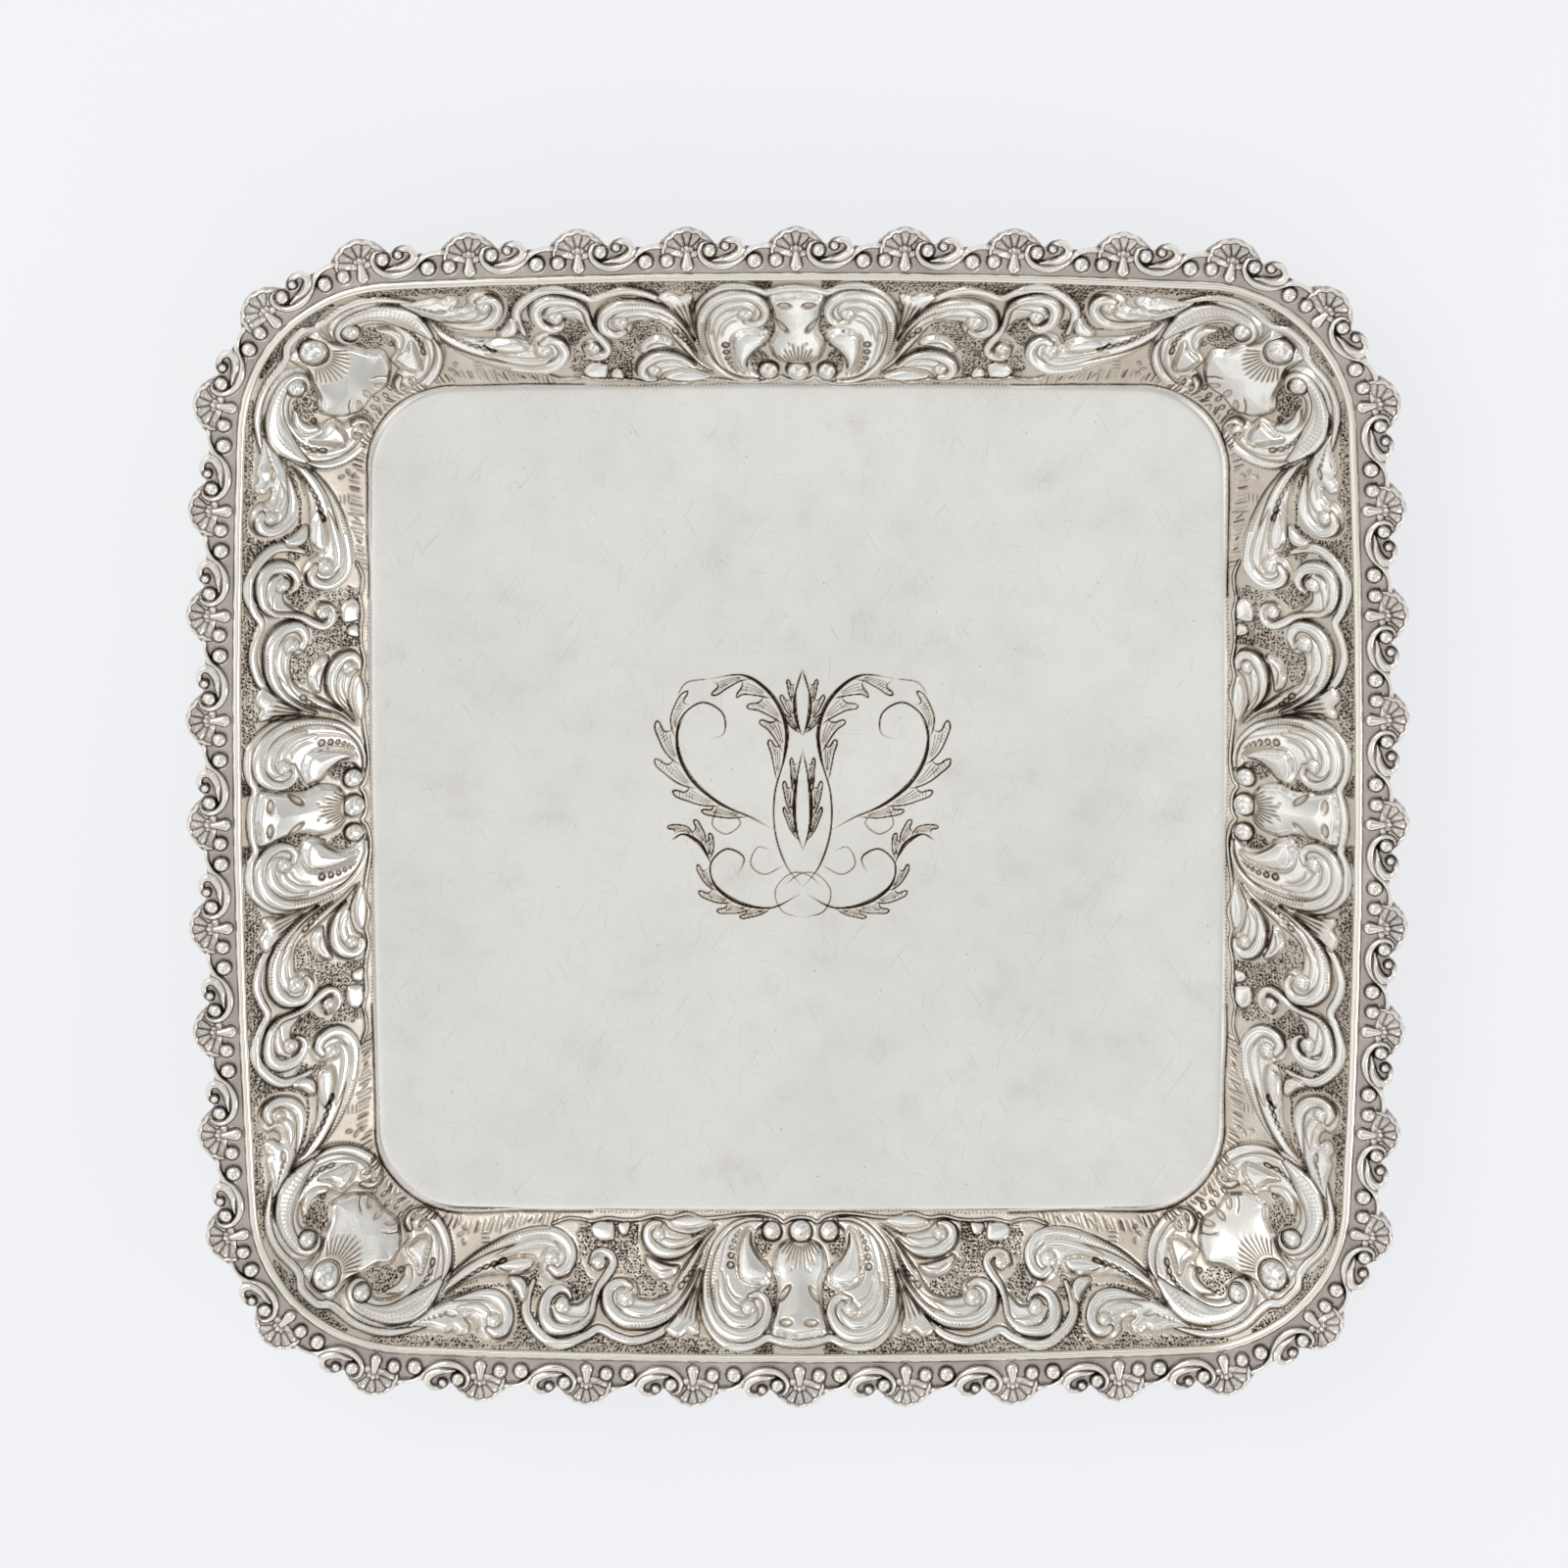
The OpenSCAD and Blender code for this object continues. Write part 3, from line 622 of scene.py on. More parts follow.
def new_tree(owner):
    """An empty node tree on a material or a world."""
    owner.use_nodes = True
    owner.node_tree.nodes.clear()
    return owner.node_tree


def silver(name, bright, film, oxide, polish, scratch, scuffs):
    """Sterling silver with the tarnish left in its hollows. bright is wiped metal, film a thin
    straw-coloured tarnish and oxide a thick one. polish is the roughness of a wiped face,
    scratch the depth of its fine scratches in metres, and scuffs how far rubbing marks show."""
    material = bpy.data.materials.new(name)
    tree = new_tree(material)
    place = add(tree, "TexCoord", {}).outputs["Object"]
    held = add(tree, "Attribute", {}, attribute_name="tarnish").outputs["Fac"]
    stamped = add(tree, "Attribute", {}, attribute_name="stamped").outputs["Fac"]
    wiped = add(tree, "Attribute", {}, attribute_name="wiped").outputs["Fac"]
    # tarnish: cloudy over centimetres, flecked over a third of a millimetre
    cloud = add(tree, "TexNoise", {"Vector": place, "Scale": 90.0, "Detail": 5.0})
    fleck = add(tree, "TexNoise", {"Vector": place, "Scale": 3300.0, "Detail": 3.0})
    drift = add(tree, "Math", {0: cloud.outputs["Fac"], 1: -0.5}, operation="ADD")
    patchy = add(tree, "Math", {0: drift.outputs[0], 1: 0.6, 2: held}, operation="MULTIPLY_ADD")
    speck = add(tree, "Math", {0: fleck.outputs["Fac"], 1: -0.5}, operation="ADD")
    broken = add(tree, "Math", {0: speck.outputs[0], 1: 0.5, 2: patchy.outputs[0]},
        operation="MULTIPLY_ADD")
    # marks of the small round punch, 0.8 mm apart
    punch_gap = 0.8 * mm
    cell = add(tree, "TexVoronoi", {"Vector": place, "Scale": 1 / punch_gap, "Randomness": 0.7})
    pit = add(tree, "MapRange", {"Value": cell.outputs["Distance"], 1: 0.17, 2: 0.36, 3: 1.0, 4: 0.0})
    mark = add(tree, "Math", {0: pit.outputs[0], 1: stamped}, operation="MULTIPLY")
    both = add(tree, "Math", {0: mark.outputs[0], 1: 0.85, 2: broken.outputs[0]}, operation="MULTIPLY_ADD")
    # scratches from years of wiping, in three directions: a fine grain and a few long marks
    height, marks = None, None
    bend = add(tree, "TexNoise", {"Vector": place, "Scale": 14.0, "Detail": 1.0})
    curved = add(tree, "VectorMath", {0: bend.outputs["Color"], 1: (0.012, 0.012, 0.0), 2: place},
        operation="MULTIPLY_ADD")
    for turn, wide, long in ((0.5, 0.0003, 0.014), (1.4, 0.00022, 0.009), (2.5, 0.00026, 0.02),
        (3.0, 0.0002, 0.012)):
        lie = add(tree, "Mapping", {"Vector": curved.outputs[0], "Rotation": (0, 0, turn),
            "Scale": (wide, long, wide * 4)}, vector_type="TEXTURE")
        lines = add(tree, "TexNoise", {"Vector": lie.outputs[0], "Scale": 1.0, "Detail": 2.0})
        start = height.outputs[0] if height else 0.0
        height = add(tree, "Math", {0: lines.outputs["Fac"], 1: 0.33, 2: start}, operation="MULTIPLY_ADD")
        sharp = add(tree, "MapRange", {"Value": lines.outputs["Fac"], 1: 0.68, 2: 0.74})
        start = marks.outputs[0] if marks else 0.0
        marks = add(tree, "Math", {0: sharp.outputs[0], 1: start}, operation="ADD")
    smear = add(tree, "TexNoise", {"Vector": place, "Scale": 22.0, "Detail": 8.0, "Roughness": 0.7})
    worn = add(tree, "MapRange", {"Value": smear.outputs["Fac"], 1: 0.42, 2: 0.95})
    rubbed = add(tree, "Math", {0: marks.outputs[0], 1: worn.outputs[0]}, operation="ADD")
    pores = add(tree, "TexVoronoi", {"Vector": place, "Scale": 170.0})
    hole = add(tree, "MapRange", {"Value": pores.outputs["Distance"], 1: 0.02, 2: 0.045, 3: 2.5, 4: 0.0})
    spotted = add(tree, "Math", {0: rubbed.outputs[0], 1: hole.outputs[0]}, operation="ADD")
    faint = add(tree, "Math", {0: spotted.outputs[0], 1: scuffs}, operation="MULTIPLY")
    dull = add(tree, "Math", {0: faint.outputs[0], 1: wiped}, operation="MULTIPLY")
    thin = add(tree, "MapRange", {"Value": both.outputs[0], 1: 0.02, 2: 0.45},
        interpolation_type="SMOOTHSTEP")
    thick = add(tree, "MapRange", {"Value": both.outputs[0], 1: 0.42, 2: 0.95},
        interpolation_type="SMOOTHSTEP")
    straw = add(tree, "Mix", {0: thin.outputs[0], 6: colour(bright), 7: colour(film)}, data_type="RGBA")
    grey = add(tree, "Mix", {0: dull.outputs[0], 6: straw.outputs[2], 7: colour("#8d8983")},
        data_type="RGBA")
    base = add(tree, "Mix", {0: thick.outputs[0], 6: grey.outputs[2], 7: colour(oxide)}, data_type="RGBA")
    rough = add(tree, "MapRange", {"Value": thin.outputs[0], 3: polish, 4: polish + 0.2})
    satin = add(tree, "Math", {0: wiped, 1: 0.15, 2: rough.outputs[0]}, operation="MULTIPLY_ADD")
    haze = add(tree, "Math", {0: drift.outputs[0], 1: 0.12, 2: satin.outputs[0]}, operation="MULTIPLY_ADD")
    fine = add(tree, "Bump", {"Strength": 1.0, "Distance": scratch, "Height": height.outputs[0]})
    grainy = add(tree, "Math", {0: fleck.outputs["Fac"], 1: held}, operation="MULTIPLY")
    coarse = add(tree, "Bump", {
        "Strength": 1.0, "Distance": 0.0001, "Height": grainy.outputs[0], "Normal": fine.outputs[0]})
    struck = add(tree, "Bump", {"Strength": 1.0, "Distance": 0.0002, "Height": mark.outputs[0],
        "Normal": coarse.outputs[0]}, invert=True)
    shine = add(tree, "BsdfPrincipled", {
        "Base Color": base.outputs[2], "Metallic": 1.0, "Roughness": haze.outputs[0],
        "Normal": struck.outputs[0]})
    add(tree, "OutputMaterial", {"Surface": shine.outputs[0]})
    return material


scratch_depth = 0.003 * mm
# Wiped sterling sheet: near-white metal, satin from cleaning, straw and brown-grey in its hollows.
sheet_silver = silver("chased_sterling_sheet", "#edece9", "#cdc3b7", "#2c221a", 0.15, scratch_depth, 0.26)

side_columns, corner_columns = (335, 100)
f = np.concatenate([
    np.arange(-1, side_columns) / side_columns,
    1 + np.arange(0, corner_columns + 2) / corner_columns,
])
well = eighth(well_shape, f)
seat = eighth((rim_shape[0] - wire_r, rim_shape[1] - wire_r, rim_shape[2] - wire_r), f)
edge = eighth(tuple(r + edge_w - wire_r for r in rim_shape), f)
share = well[:, 0] / well[-2, 0]
square = np.stack([device_half * share, np.full(len(f), float(device_half))], -1)
square[share > 1] = np.stack([np.full((share > 1).sum(), float(device_half)),
    device_half / share[share > 1]], -1)
run = np.linalg.norm(seat - well, axis=1)
out = (seat - well) / run[:, None]

slope_rows, back_rows = (142, 14)
rows = []
# floor of the well, coarse and then fine near the border, as distances from the border
for t in (0, 0.0004, 0.3, 0.6, 0.8, 0.9):
    rows.append(("floor", t))
for back in (3, 2.6, 2.2, 1.8, 1.45, 1.1, 0.8, 0.5, 0.25):
    rows.append(("lip", back))
for k in range(slope_rows + 1):
    rows.append(("slope", k / slope_rows))
for e, drop in ((0.5, 0), (0.97, 0), (1.0, 0.12), (1.0, 1.05), (0.97, 1.2), (0.5, 1.2)):
    rows.append(("edge", (e, drop)))
for k in range(back_rows, -1, -1):
    rows.append(("back", k / back_rows))
for t in (0.9, 0.5, 0.0004, 0):
    rows.append(("under", t))


def slope_z(u):
    return (edge_z - well_z) * ((1 - border_hollow) * u + border_hollow * u * u)


soft_height = chased.softened(chased.height, 0.09)
soft_dark = chased.softened(chased.dark, 0.07)
back_height = chased.softened(chased.height, 0.6)
stamped_part = chased.softened(chased.stamped, 0.15)
relief_gain = 0.92


def border_length(name, quarter, mirrored):
    turned = Matrix.Rotation(-np.pi / 2 * quarter, 2)
    turned = np.array(turned) * ((-1, 1) if mirrored else (1, 1))
    place, tarnish, stamped, wiped = [], [], [], []
    steep = (edge_z - well_z) / run
    for kind, v in rows:
        u = v if kind in ("slope", "back") else float(kind == "edge")
        if kind in ("floor", "under"):
            flat = square + (well - square) * v
        elif kind == "lip":
            flat = well - out * v
        elif kind == "edge":
            flat = seat + (edge - seat) * v[0]
        else:
            flat = well + (seat - well) * v
        world = flat @ turned.T
        x, y = world.T
        z = np.full(len(f), float(well_z))
        rise = steep * ((1 - border_hollow) + 2 * border_hollow * u)
        lean = np.stack([-rise, np.ones_like(rise)], -1)
        lean /= np.linalg.norm(lean, axis=1)[:, None]
        if kind in ("slope", "lip"):
            way = -v if kind == "lip" else v * run
            climb = slope_z(v) if kind == "slope" else -v * steep * (1 - border_hollow)
            z = well_z + 0.3 * np.logaddexp(0, climb / 0.3)
            tilt = 1 / (1 + np.exp(-way / 0.5)) * np.ones(len(f))
            lift = folded(soft_height, x, y) * relief_gain * (1 + 0.1 * wander(x, y, 2))
            lift = lift * ease((1 - u) * 18) * ease((2.9 - v) / 1.5 if kind == "lip" else 1.0)
            push = lean * lift[:, None]
            flat = flat + out * push[:, :1] * tilt[:, None]
            z = z + push[:, 1]
            tarnish.append(folded(soft_dark, x, y) + 0.1 * (kind == "slope"))
        elif kind == "back":
            lift = folded(back_height, x, y) * 0.85 * ease((1 - u) * 12) * ease(u * 12)
            flat = flat + out * (lean[:, :1] * lift[:, None])
            z = foot_h + slope_z(v) + lean[:, 1] * lift
            tarnish.append(0.25 + 0.3 * folded(soft_dark, x, y))
        elif kind == "edge":
            z = np.full(len(f), edge_z - v[1])
            tarnish.append(np.full(len(f), 0.3))
        elif kind == "under":
            z = np.full(len(f), float(foot_h))
            tarnish.append(np.full(len(f), 0.15))
        else:
            tarnish.append(np.zeros(len(f)))
        stamped.append(folded(stamped_part, x, y) * (kind == "slope"))
        rubbed = ease(v / 1.5) if kind == "lip" else float(kind == "floor")
        wiped.append(np.full(len(f), rubbed))
        world = flat @ turned.T
        place.append(np.column_stack([world, z]))
    fields = {"tarnish": np.stack(tarnish, 1), "stamped": np.stack(stamped, 1), "wiped": np.stack(wiped, 1)}
    piece = strip(name, np.stack(place, 1), fields)
    piece.data.materials.append(sheet_silver)
    return piece


for quarter, side in enumerate(("back", "right", "front", "left")):
    for mirrored, end in enumerate(("clockwise", "anticlockwise")):
        piece = border_length(f"border_{side}_{end}", quarter, mirrored)
        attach(piece, "root")
        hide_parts("tray_body")

# ---- The sheet: the middle of the well ------------------------------------------------------
# The flat middle of the same sheet, planished smooth and polished, with a foliate device cut
# into it by hand with a graver. The cuts are a fraction of a millimetre deep and hold tarnish.

device = Relief((-device_half, -device_half), (device_half, device_half), 0.1)


def cut_line(points, depth=0.12, width=0.17, dark=1.0):
    """One graver line, and its mirror image across the tray."""
    for flip in (1, -1):
        device.groove([(flip * 0.86 * x + 1, 0.86 * y + 2) for x, y in points], depth, width, dark)


def beside(line, share, off, hand):
    """A place beside a smooth line, at a share of its length and an offset to one hand."""
    run = run_along(line)
    run /= run[-1]
    at, ahead, behind = (
        np.array([np.interp(share + step, run, line[:, k]) for k in (0, 1)]) for step in (0, 0.02, -0.02)
    )
    way = (ahead - behind) / np.linalg.norm(ahead - behind)
    return at + hand * off * np.array([-way[1], way[0]])


def acanthus(points, first, last, lobes, wide, hand):
    """A stem with an acanthus leaf down one side of it: lobes that hook outward and overlap,
    each one shaded with fine lines that follow its edge."""
    line = smooth_line(points, 16)
    cut_line(points, 0.14, 0.2)
    span = (last - first) / lobes
    for n in range(lobes):
        start = first + n * span
        reach = wide * (0.5 + 0.65 * np.sin(np.pi * (n + 0.8) / (lobes + 0.6)))
        edge = [(0.0, 0.05), (0.3, 0.42), (0.62, 0.75), (0.95, 1.02), (1.25, 1.32), (1.42, 1.3),
            (1.4, 1.1), (1.22, 0.8), (1.2, 0.5), (1.34, 0.22)]
        cut_line([beside(line, start + a * span, b * reach, hand) for a, b in edge], 0.14, 0.17)
        for inner in (0.8, 0.58, 0.38):
            fold = [(0.3, 0.34 * inner), (0.65, 0.66 * inner), (1.0, 0.92 * inner), (1.2, 1.1 * inner)]
            cut_line([beside(line, start + a * span, b * reach, hand) for a, b in fold], 0.07, 0.1, 0.7)
        for rung in np.linspace(0.95, 1.3, 5):
            cut_line([beside(line, start + (rung + 0.06) * span, (rung - 0.42) * reach, hand),
                beside(line, start + (rung - 0.1) * span, (rung - 0.12) * reach, hand)], 0.06, 0.09,
                0.65)
    for off in (0.4, 0.8):
        stalk = [beside(line, first + (last - first) * t, -off * np.sin(np.pi * t),
            hand) for t in np.linspace(0, 1, 7)]
        cut_line(stalk, 0.1, 0.12, 0.85)


# tall pair of stems, springing from the foot and opening outward at the top
acanthus([(0, -28), (5, -21), (8, -11), (8, 0), (5.5, 10), (5, 20), (9, 29), (17, 35), (27, 34)], 0.42,
    0.95, 5, 4.8, -1)
# wide side pair, turning over into a loop
acanthus([(8, -11), (15, -7), (24, -3), (32, 4), (36, 13), (35, 22), (29, 27), (23, 24), (22.5, 18),
    (27, 16)], 0.12, 0.68, 5, 4.6, -1)
# small scrolls at the foot, each with a leaf springing from its back
acanthus([(1, -30), (9, -34), (18, -33), (25, -28), (26.5, -21), (22, -16.5), (17, -19), (18.5, -24)],
    0.18, 0.6, 4, 3.4, -1)
acanthus([(26.5, -21), (29, -15), (34, -12), (38, -14)], 0.08, 0.8, 3, 3.2, 1)
# bud between the tall stems
acanthus([(0, -17), (2.4, -9), (2.6, -1), (1.2, 7), (0, 13)], 0.1, 0.8, 3, 2.3, -1)
acanthus([(0, 17), (2.0, 22), (2.4, 28), (0, 37)], 0.05, 0.7, 3, 2.6, -1)
# hairlines that tie the stems together
cut_line([(0, -37), (-6, -35), (-8, -29), (-4, -24), (1, -24), (6, -28)], 0.08, 0.11, 0.85)
cut_line([(27, 34), (33, 33), (36, 29)], 0.08, 0.11, 0.85)
cut_line([(5, -21), (11, -24), (15, -21), (13, -16), (9, -17)], 0.08, 0.11, 0.85)
cut_line([(24, -3), (26, -9), (22, -12), (18, -9), (20, -5.5)], 0.08, 0.11, 0.85)
device_height = device.softened(device.height, 0.06)
device_dark = device.softened(device.dark, 0.05)

well_cuts = 310
bm = bmesh.new()
bmesh.ops.create_grid(bm, x_segments=well_cuts, y_segments=well_cuts, size=device_half)
flat = np.array([v.co for v in bm.verts])[:, :2]
shape = device.read(device_height, *flat.T)
stain = device.read(device_dark, *flat.T)
for v, z in zip(bm.verts, shape):
    v.co = v.co * mm
    v.co.z = (well_z + z) * mm
skirt = bmesh.ops.extrude_edge_only(bm, edges=[e for e in bm.edges if e.is_boundary])
for v in (g for g in skirt["geom"] if isinstance(g, bmesh.types.BMVert)):
    v.co.z = foot_h * mm
bmesh.ops.holes_fill(bm, edges=[e for e in bm.edges if e.is_boundary], sides=0)
bmesh.ops.recalc_face_normals(bm, faces=bm.faces)
well_piece = piece_from("well", bm)
well_piece.data.shade_smooth()
well_piece.data.set_sharp_from_angle(angle=np.radians(60))
under = np.ones(len(well_piece.data.vertices) - len(stain))
note(well_piece, "tarnish", np.concatenate([np.clip(1.7 * stain, 0, 1), 0.15 * under]))
note(well_piece, "wiped", np.concatenate([np.ones(len(stain)), 0 * under]))
well_piece.data.materials.append(sheet_silver)
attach(well_piece, "root")
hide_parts("tray_body")

# ---- The rim wire ---------------------------------------------------------------------------
# Four lengths of half-round drawn silver wire, soldered where the sheet meets the applied
# border, each from just short of the middle of one side to the same place on the next.

ground_w = 5.2
strip_mid = wire_r + ground_w
shells_per_side = 10
rim_half, side_bow, rim_corner = rim_shape
shell_centre = 6.1  # how far out the middle of each shell's fan lies
rim_k, rim_d = side_bow - rim_half, side_bow - rim_corner
rim_c = (np.sqrt(2 * rim_d**2 - rim_k**2) - rim_k) / 2
rim_turn = np.arctan2(rim_c, rim_c + side_bow - rim_half)
side_run = (side_bow + strip_mid) * rim_turn
corner_run = (rim_corner + strip_mid) * (np.pi / 4 - rim_turn)
pitch = 2 * (side_run + corner_run) / shells_per_side


def on_rim(distance, reach, quarter):
    """Places on the rim: distance clockwise from a side's middle along the middle of the applied
    border, and reach outward from the centre line of the wire."""
    whole = 2 * (side_run + corner_run)
    back = distance > whole / 2
    d = np.where(back, whole - distance, distance)
    heading = np.where(
        d < side_run, d / (side_bow + strip_mid), rim_turn + (d - side_run) / (rim_corner + strip_mid)
    )
    on_side = d < side_run
    r = np.where(on_side, side_bow, rim_corner) + reach
    x = np.where(on_side, 0, rim_c) + r * np.sin(heading)
    y = np.where(on_side, rim_half - side_bow, rim_c) + r * np.cos(heading)
    x, y = np.where(back, y, x), np.where(back, x, y)
    turned = np.array(Matrix.Rotation(-np.pi / 2 * quarter, 2))
    return np.stack([x, y], -1) @ turned.T


def along_rim(steps):
    step = shells_per_side * pitch / steps
    return -pitch / 2 + step * np.arange(-1, steps + 2)


# Drawn sterling wire: a bright, even shine along its back and a brown line of tarnish at each side.
wire_silver = silver("drawn_sterling_wire", "#f0ece2", "#c9bba8", "#5a4f47", 0.17, scratch_depth, 0.0)
quarters = ("back_right", "front_right", "front_left", "back_left")
# Its section: a half circle above, and a flat underside.
section = [(wire_r * np.cos(a), wire_r * np.sin(a)) for a in np.linspace(0, np.pi, 15)]
section = section + [(-0.6, 0.0), (0.6, 0.0)]
for quarter, where in enumerate(quarters):
    distance = along_rim(420)
    place, tarnish = [], []
    for reach, up in section:
        dent = 0.03 * np.sin(distance / 3.1 + quarter) + 0.03 * np.sin(distance / 7.7 - quarter)
        flat = on_rim(distance, reach + dent * (up > 0), quarter)
        place.append(np.column_stack([flat, np.full(len(distance), edge_z + up)]))
        tarnish.append(np.full(len(distance), 0.75 * (up < 0.25) + 0.2 * (up < 0.6)))
    wire = strip(f"wire_{where}", np.stack(place, 1), {"tarnish": np.stack(tarnish, 1)})
    wire.data.materials.append(wire_silver)
    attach(wire, "root")
    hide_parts(f"rim_wire_{where}")

# ---- The applied border ---------------------------------------------------------------------
# Four cast lengths of shell and scroll work, soldered on outside the wire. One shell with its
# drop, the S scrolls beside it and their beads is a unit, cast ten times to a length.

unit = Relief((-14, -0.5), (14, 13.5), 0.07)
for over in (-pitch, 0, pitch):
    def at(*points):
        return [(x + over, y) for x, y in points]

    def fan(turns, reaches):
        return at(*[(r * np.sin(np.radians(a)), shell_centre + r * np.cos(np.radians(a))) for a,
            r in zip(turns, reaches)])

    # shell: a solid fan with hollow flutes struck in it, inside one smooth scalloped edge
    turns = np.arange(-96, 97, 4)
    scallop = 5.3 + 0.6 * np.abs(np.cos(np.radians((turns + 84) * 6.43))) ** 0.6
    unit.panel(fan(turns, scallop + 0.3) + at((3, 5.2), (0, 4.6), (-3, 5.2)), 1.25, edge=0.5, crown=0.2)
    for k in range(7):
        turn = -84 + 28 * k
        unit.oval(fan([turn], [3.6])[0], (1.7, 0.8), 90 - turn, 0.7, 0.35)
        if k < 6:
            unit.groove(fan([turn + 14] * 2, [1.5, 5.5]), 0.65, 0.27, 1.0)
    unit.band(fan(turns, scallop), (0.45, 0.52, 0.45), 2.1, root=1.3, line=0.6)
    # long S scroll: round the bead, under the curl, and over two beads to the next shell
    unit.band(at((4.9, 8.9), (3.6, 8.4), (3.0, 6.7), (3.5, 4.9), (5.2, 3.5), (7.6, 2.9), (10.2, 3.2),
        (12.6, 4.4), (14.3, 6.1), (16.0, 7.3), (18.2, 7.9), (20.5, 7.7), (22.2, 6.7), (23.0, 5.3)),
        (0.3, 0.6, 0.7, 0.85, 1.0, 1.1, 1.0, 0.85, 0.75, 0.8, 0.8, 0.75, 0.6, 0.4), 2.1, root=0.9)
    unit.groove(at((4.2, 4.9), (5.8, 4.0), (7.8, 3.6), (10, 3.8), (12, 4.8)), 0.3, 0.22, 0.7)
    # plump curl with a ball at its end
    unit.band(at((6.2, 4.3), (8.4, 4.6), (10.8, 5.0), (12.7, 6.3), (13.1, 8.0), (11.9, 9.1),
        (10.4, 9.1), (9.2, 8.4)), (0.3, 0.6, 0.95, 1.15, 1.15, 1.0, 0.85, 0.8), 2.2, root=0.9)
    unit.groove(at((8.4, 4.9), (10.6, 5.5), (12, 6.7), (12.2, 8)), 0.3, 0.2, 0.6)
    unit.bead(at((9.3, 7.7))[0], (1.15, 1.1), 2.2)
    for x, y, r in ((5.5, 6.6, 1.7), (-10.1, 4.1, 1.9), (-4.9, 4.2, 1.75)):
        unit.bead(at((x, y))[0], (r, r), 2.3)
    # drop under the shell, with a three-lobed top
    unit.band(at((0, 7.0), (0, 5.8), (0, 4.6), (0, 3.0)), (1.0, 0.85, 1.25, 1.6), 2.3, root=1.0)
    for x in (-1.0, 1.0, 0):
        unit.bead(at((x, 7.5 - abs(x) / 3))[0], (0.62, 0.8), 2.2, line=0.6)

# How far the edge of the casting reaches at each place along one unit.
outline = [(-13.3, 9.1), (-12.9, 8.4), (-12.4, 7.6), (-10.6, 7.6), (-9, 8.1), (-7.4, 8.3), (-6.6, 8.5),
    (-6.2, 9.3), (-5.6, 9.5), (-5.2, 10.1), (-4.6, 10.4), (-4.1, 11.0), (-3.2, 11.5), (-2.4, 11.8),
    (-1.4, 12.1), (-1.0, 12.3), (0, 12.4), (1.0, 12.3), (1.4, 12.1), (2.4, 11.8), (3.2, 11.5),
    (4.1, 11.0), (4.6, 10.4), (5.2, 10.1), (5.6, 9.5), (6.2, 9.0), (6.9, 8.1), (7.5, 8.0), (8.2, 9.0),
    (9.2, 9.6), (10.6, 9.95), (12, 9.8), (13.14, 9.2), ]
unit_height = unit.softened(unit.height, 0.07)
unit_dark = unit.softened(unit.dark, 0.06)
ground_t = 0.75
inner_reach = 1.0
top_rows = 42
relief_share = 0.72
low_z, high_z = (0.4, 2.45)  # the thinnest and the thickest places of the casting
# Cast sterling: bright rubbed tops over a dull, greyish ground, nearly black in the deepest cuts.
cast_silver = silver("cast_sterling_border", "#efebe3", "#b8afab", "#1f1715", 0.13, scratch_depth, 0.0)
for quarter, where in enumerate(quarters):
    distance = along_rim(960)
    x = (distance + pitch / 2) % pitch - pitch / 2
    far = np.interp(x, *np.array(outline).T)
    place, tarnish = [], []
    for k in range(top_rows + 1):
        v = k / top_rows
        reach = inner_reach + (far - inner_reach) * v
        lift = ground_t + unit.read(unit_height, x, reach) * relief_share
        inset = np.clip((far - reach) / 0.5, 0, 1)
        z = 0.35 + (np.clip(lift, low_z, high_z) - 0.35) * np.sqrt(inset * (2 - inset))
        place.append((reach, z))
        tarnish.append(np.maximum(unit.read(unit_dark, x, reach), 0.42 * (lift < ground_t + 0.25)))
    for inward, z in ((0.0, 0.15), (0.15, 0.02), (1.5, 0.0), (4.0, 0.0)):
        place.append((far - inward, np.full(len(x), z)))
        tarnish.append(np.full(len(x), 0.4))
    place.append((np.full(len(x), inner_reach), np.zeros(len(x))))
    tarnish.append(np.full(len(x), 0.4))
    points = [np.column_stack([on_rim(distance, reach, quarter), edge_z + z]) for reach, z in place]
    cast = strip(f"cast_border_{where}", np.stack(points, 1), {"tarnish": np.stack(tarnish, 1)})
    cast.data.materials.append(cast_silver)
    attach(cast, "root")
    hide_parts(f"applied_border_{where}")

# ---- The feet --------------------------------------------------------------------------------
# Four cast silver feet soldered under the well near its corners: a shell-edged pad, and a
# ribbed leg that bows in, sweeps out and rolls over into a volute on the table.

foot_at = 88
pad_t = 1.4
leg_line = smooth_line([
    (-1.0, 10.2), (-2.9, 9.0), (-3.4, 6.8), (-2.3, 4.4), (0.2, 2.5), (3.2, 1.45), (6.0, 1.25),
    (7.7, 2.4), (7.5, 4.2), (6.0, 4.7), (5.2, 3.6), (6.0, 3.0)], 9)
leg_step = np.gradient(leg_line, axis=0)
leg_step /= np.hypot(*leg_step.T)[:, None]
leg_side = np.stack([-leg_step[:, 1], leg_step[:, 0]], 1)
leg_share = np.linspace(0, 1, len(leg_line))
leg_half = np.interp(leg_share, [0, 0.12, 0.35, 0.6, 0.75, 1], [3.9, 4.3, 3.0, 2.4, 3.1, 3.9])
leg_thick = np.interp(leg_share, [0, 0.15, 0.5, 0.75, 1], [1.0, 1.25, 1.0, 0.8, 0.45])
around = np.linspace(0, 2 * np.pi, 64, endpoint=False)
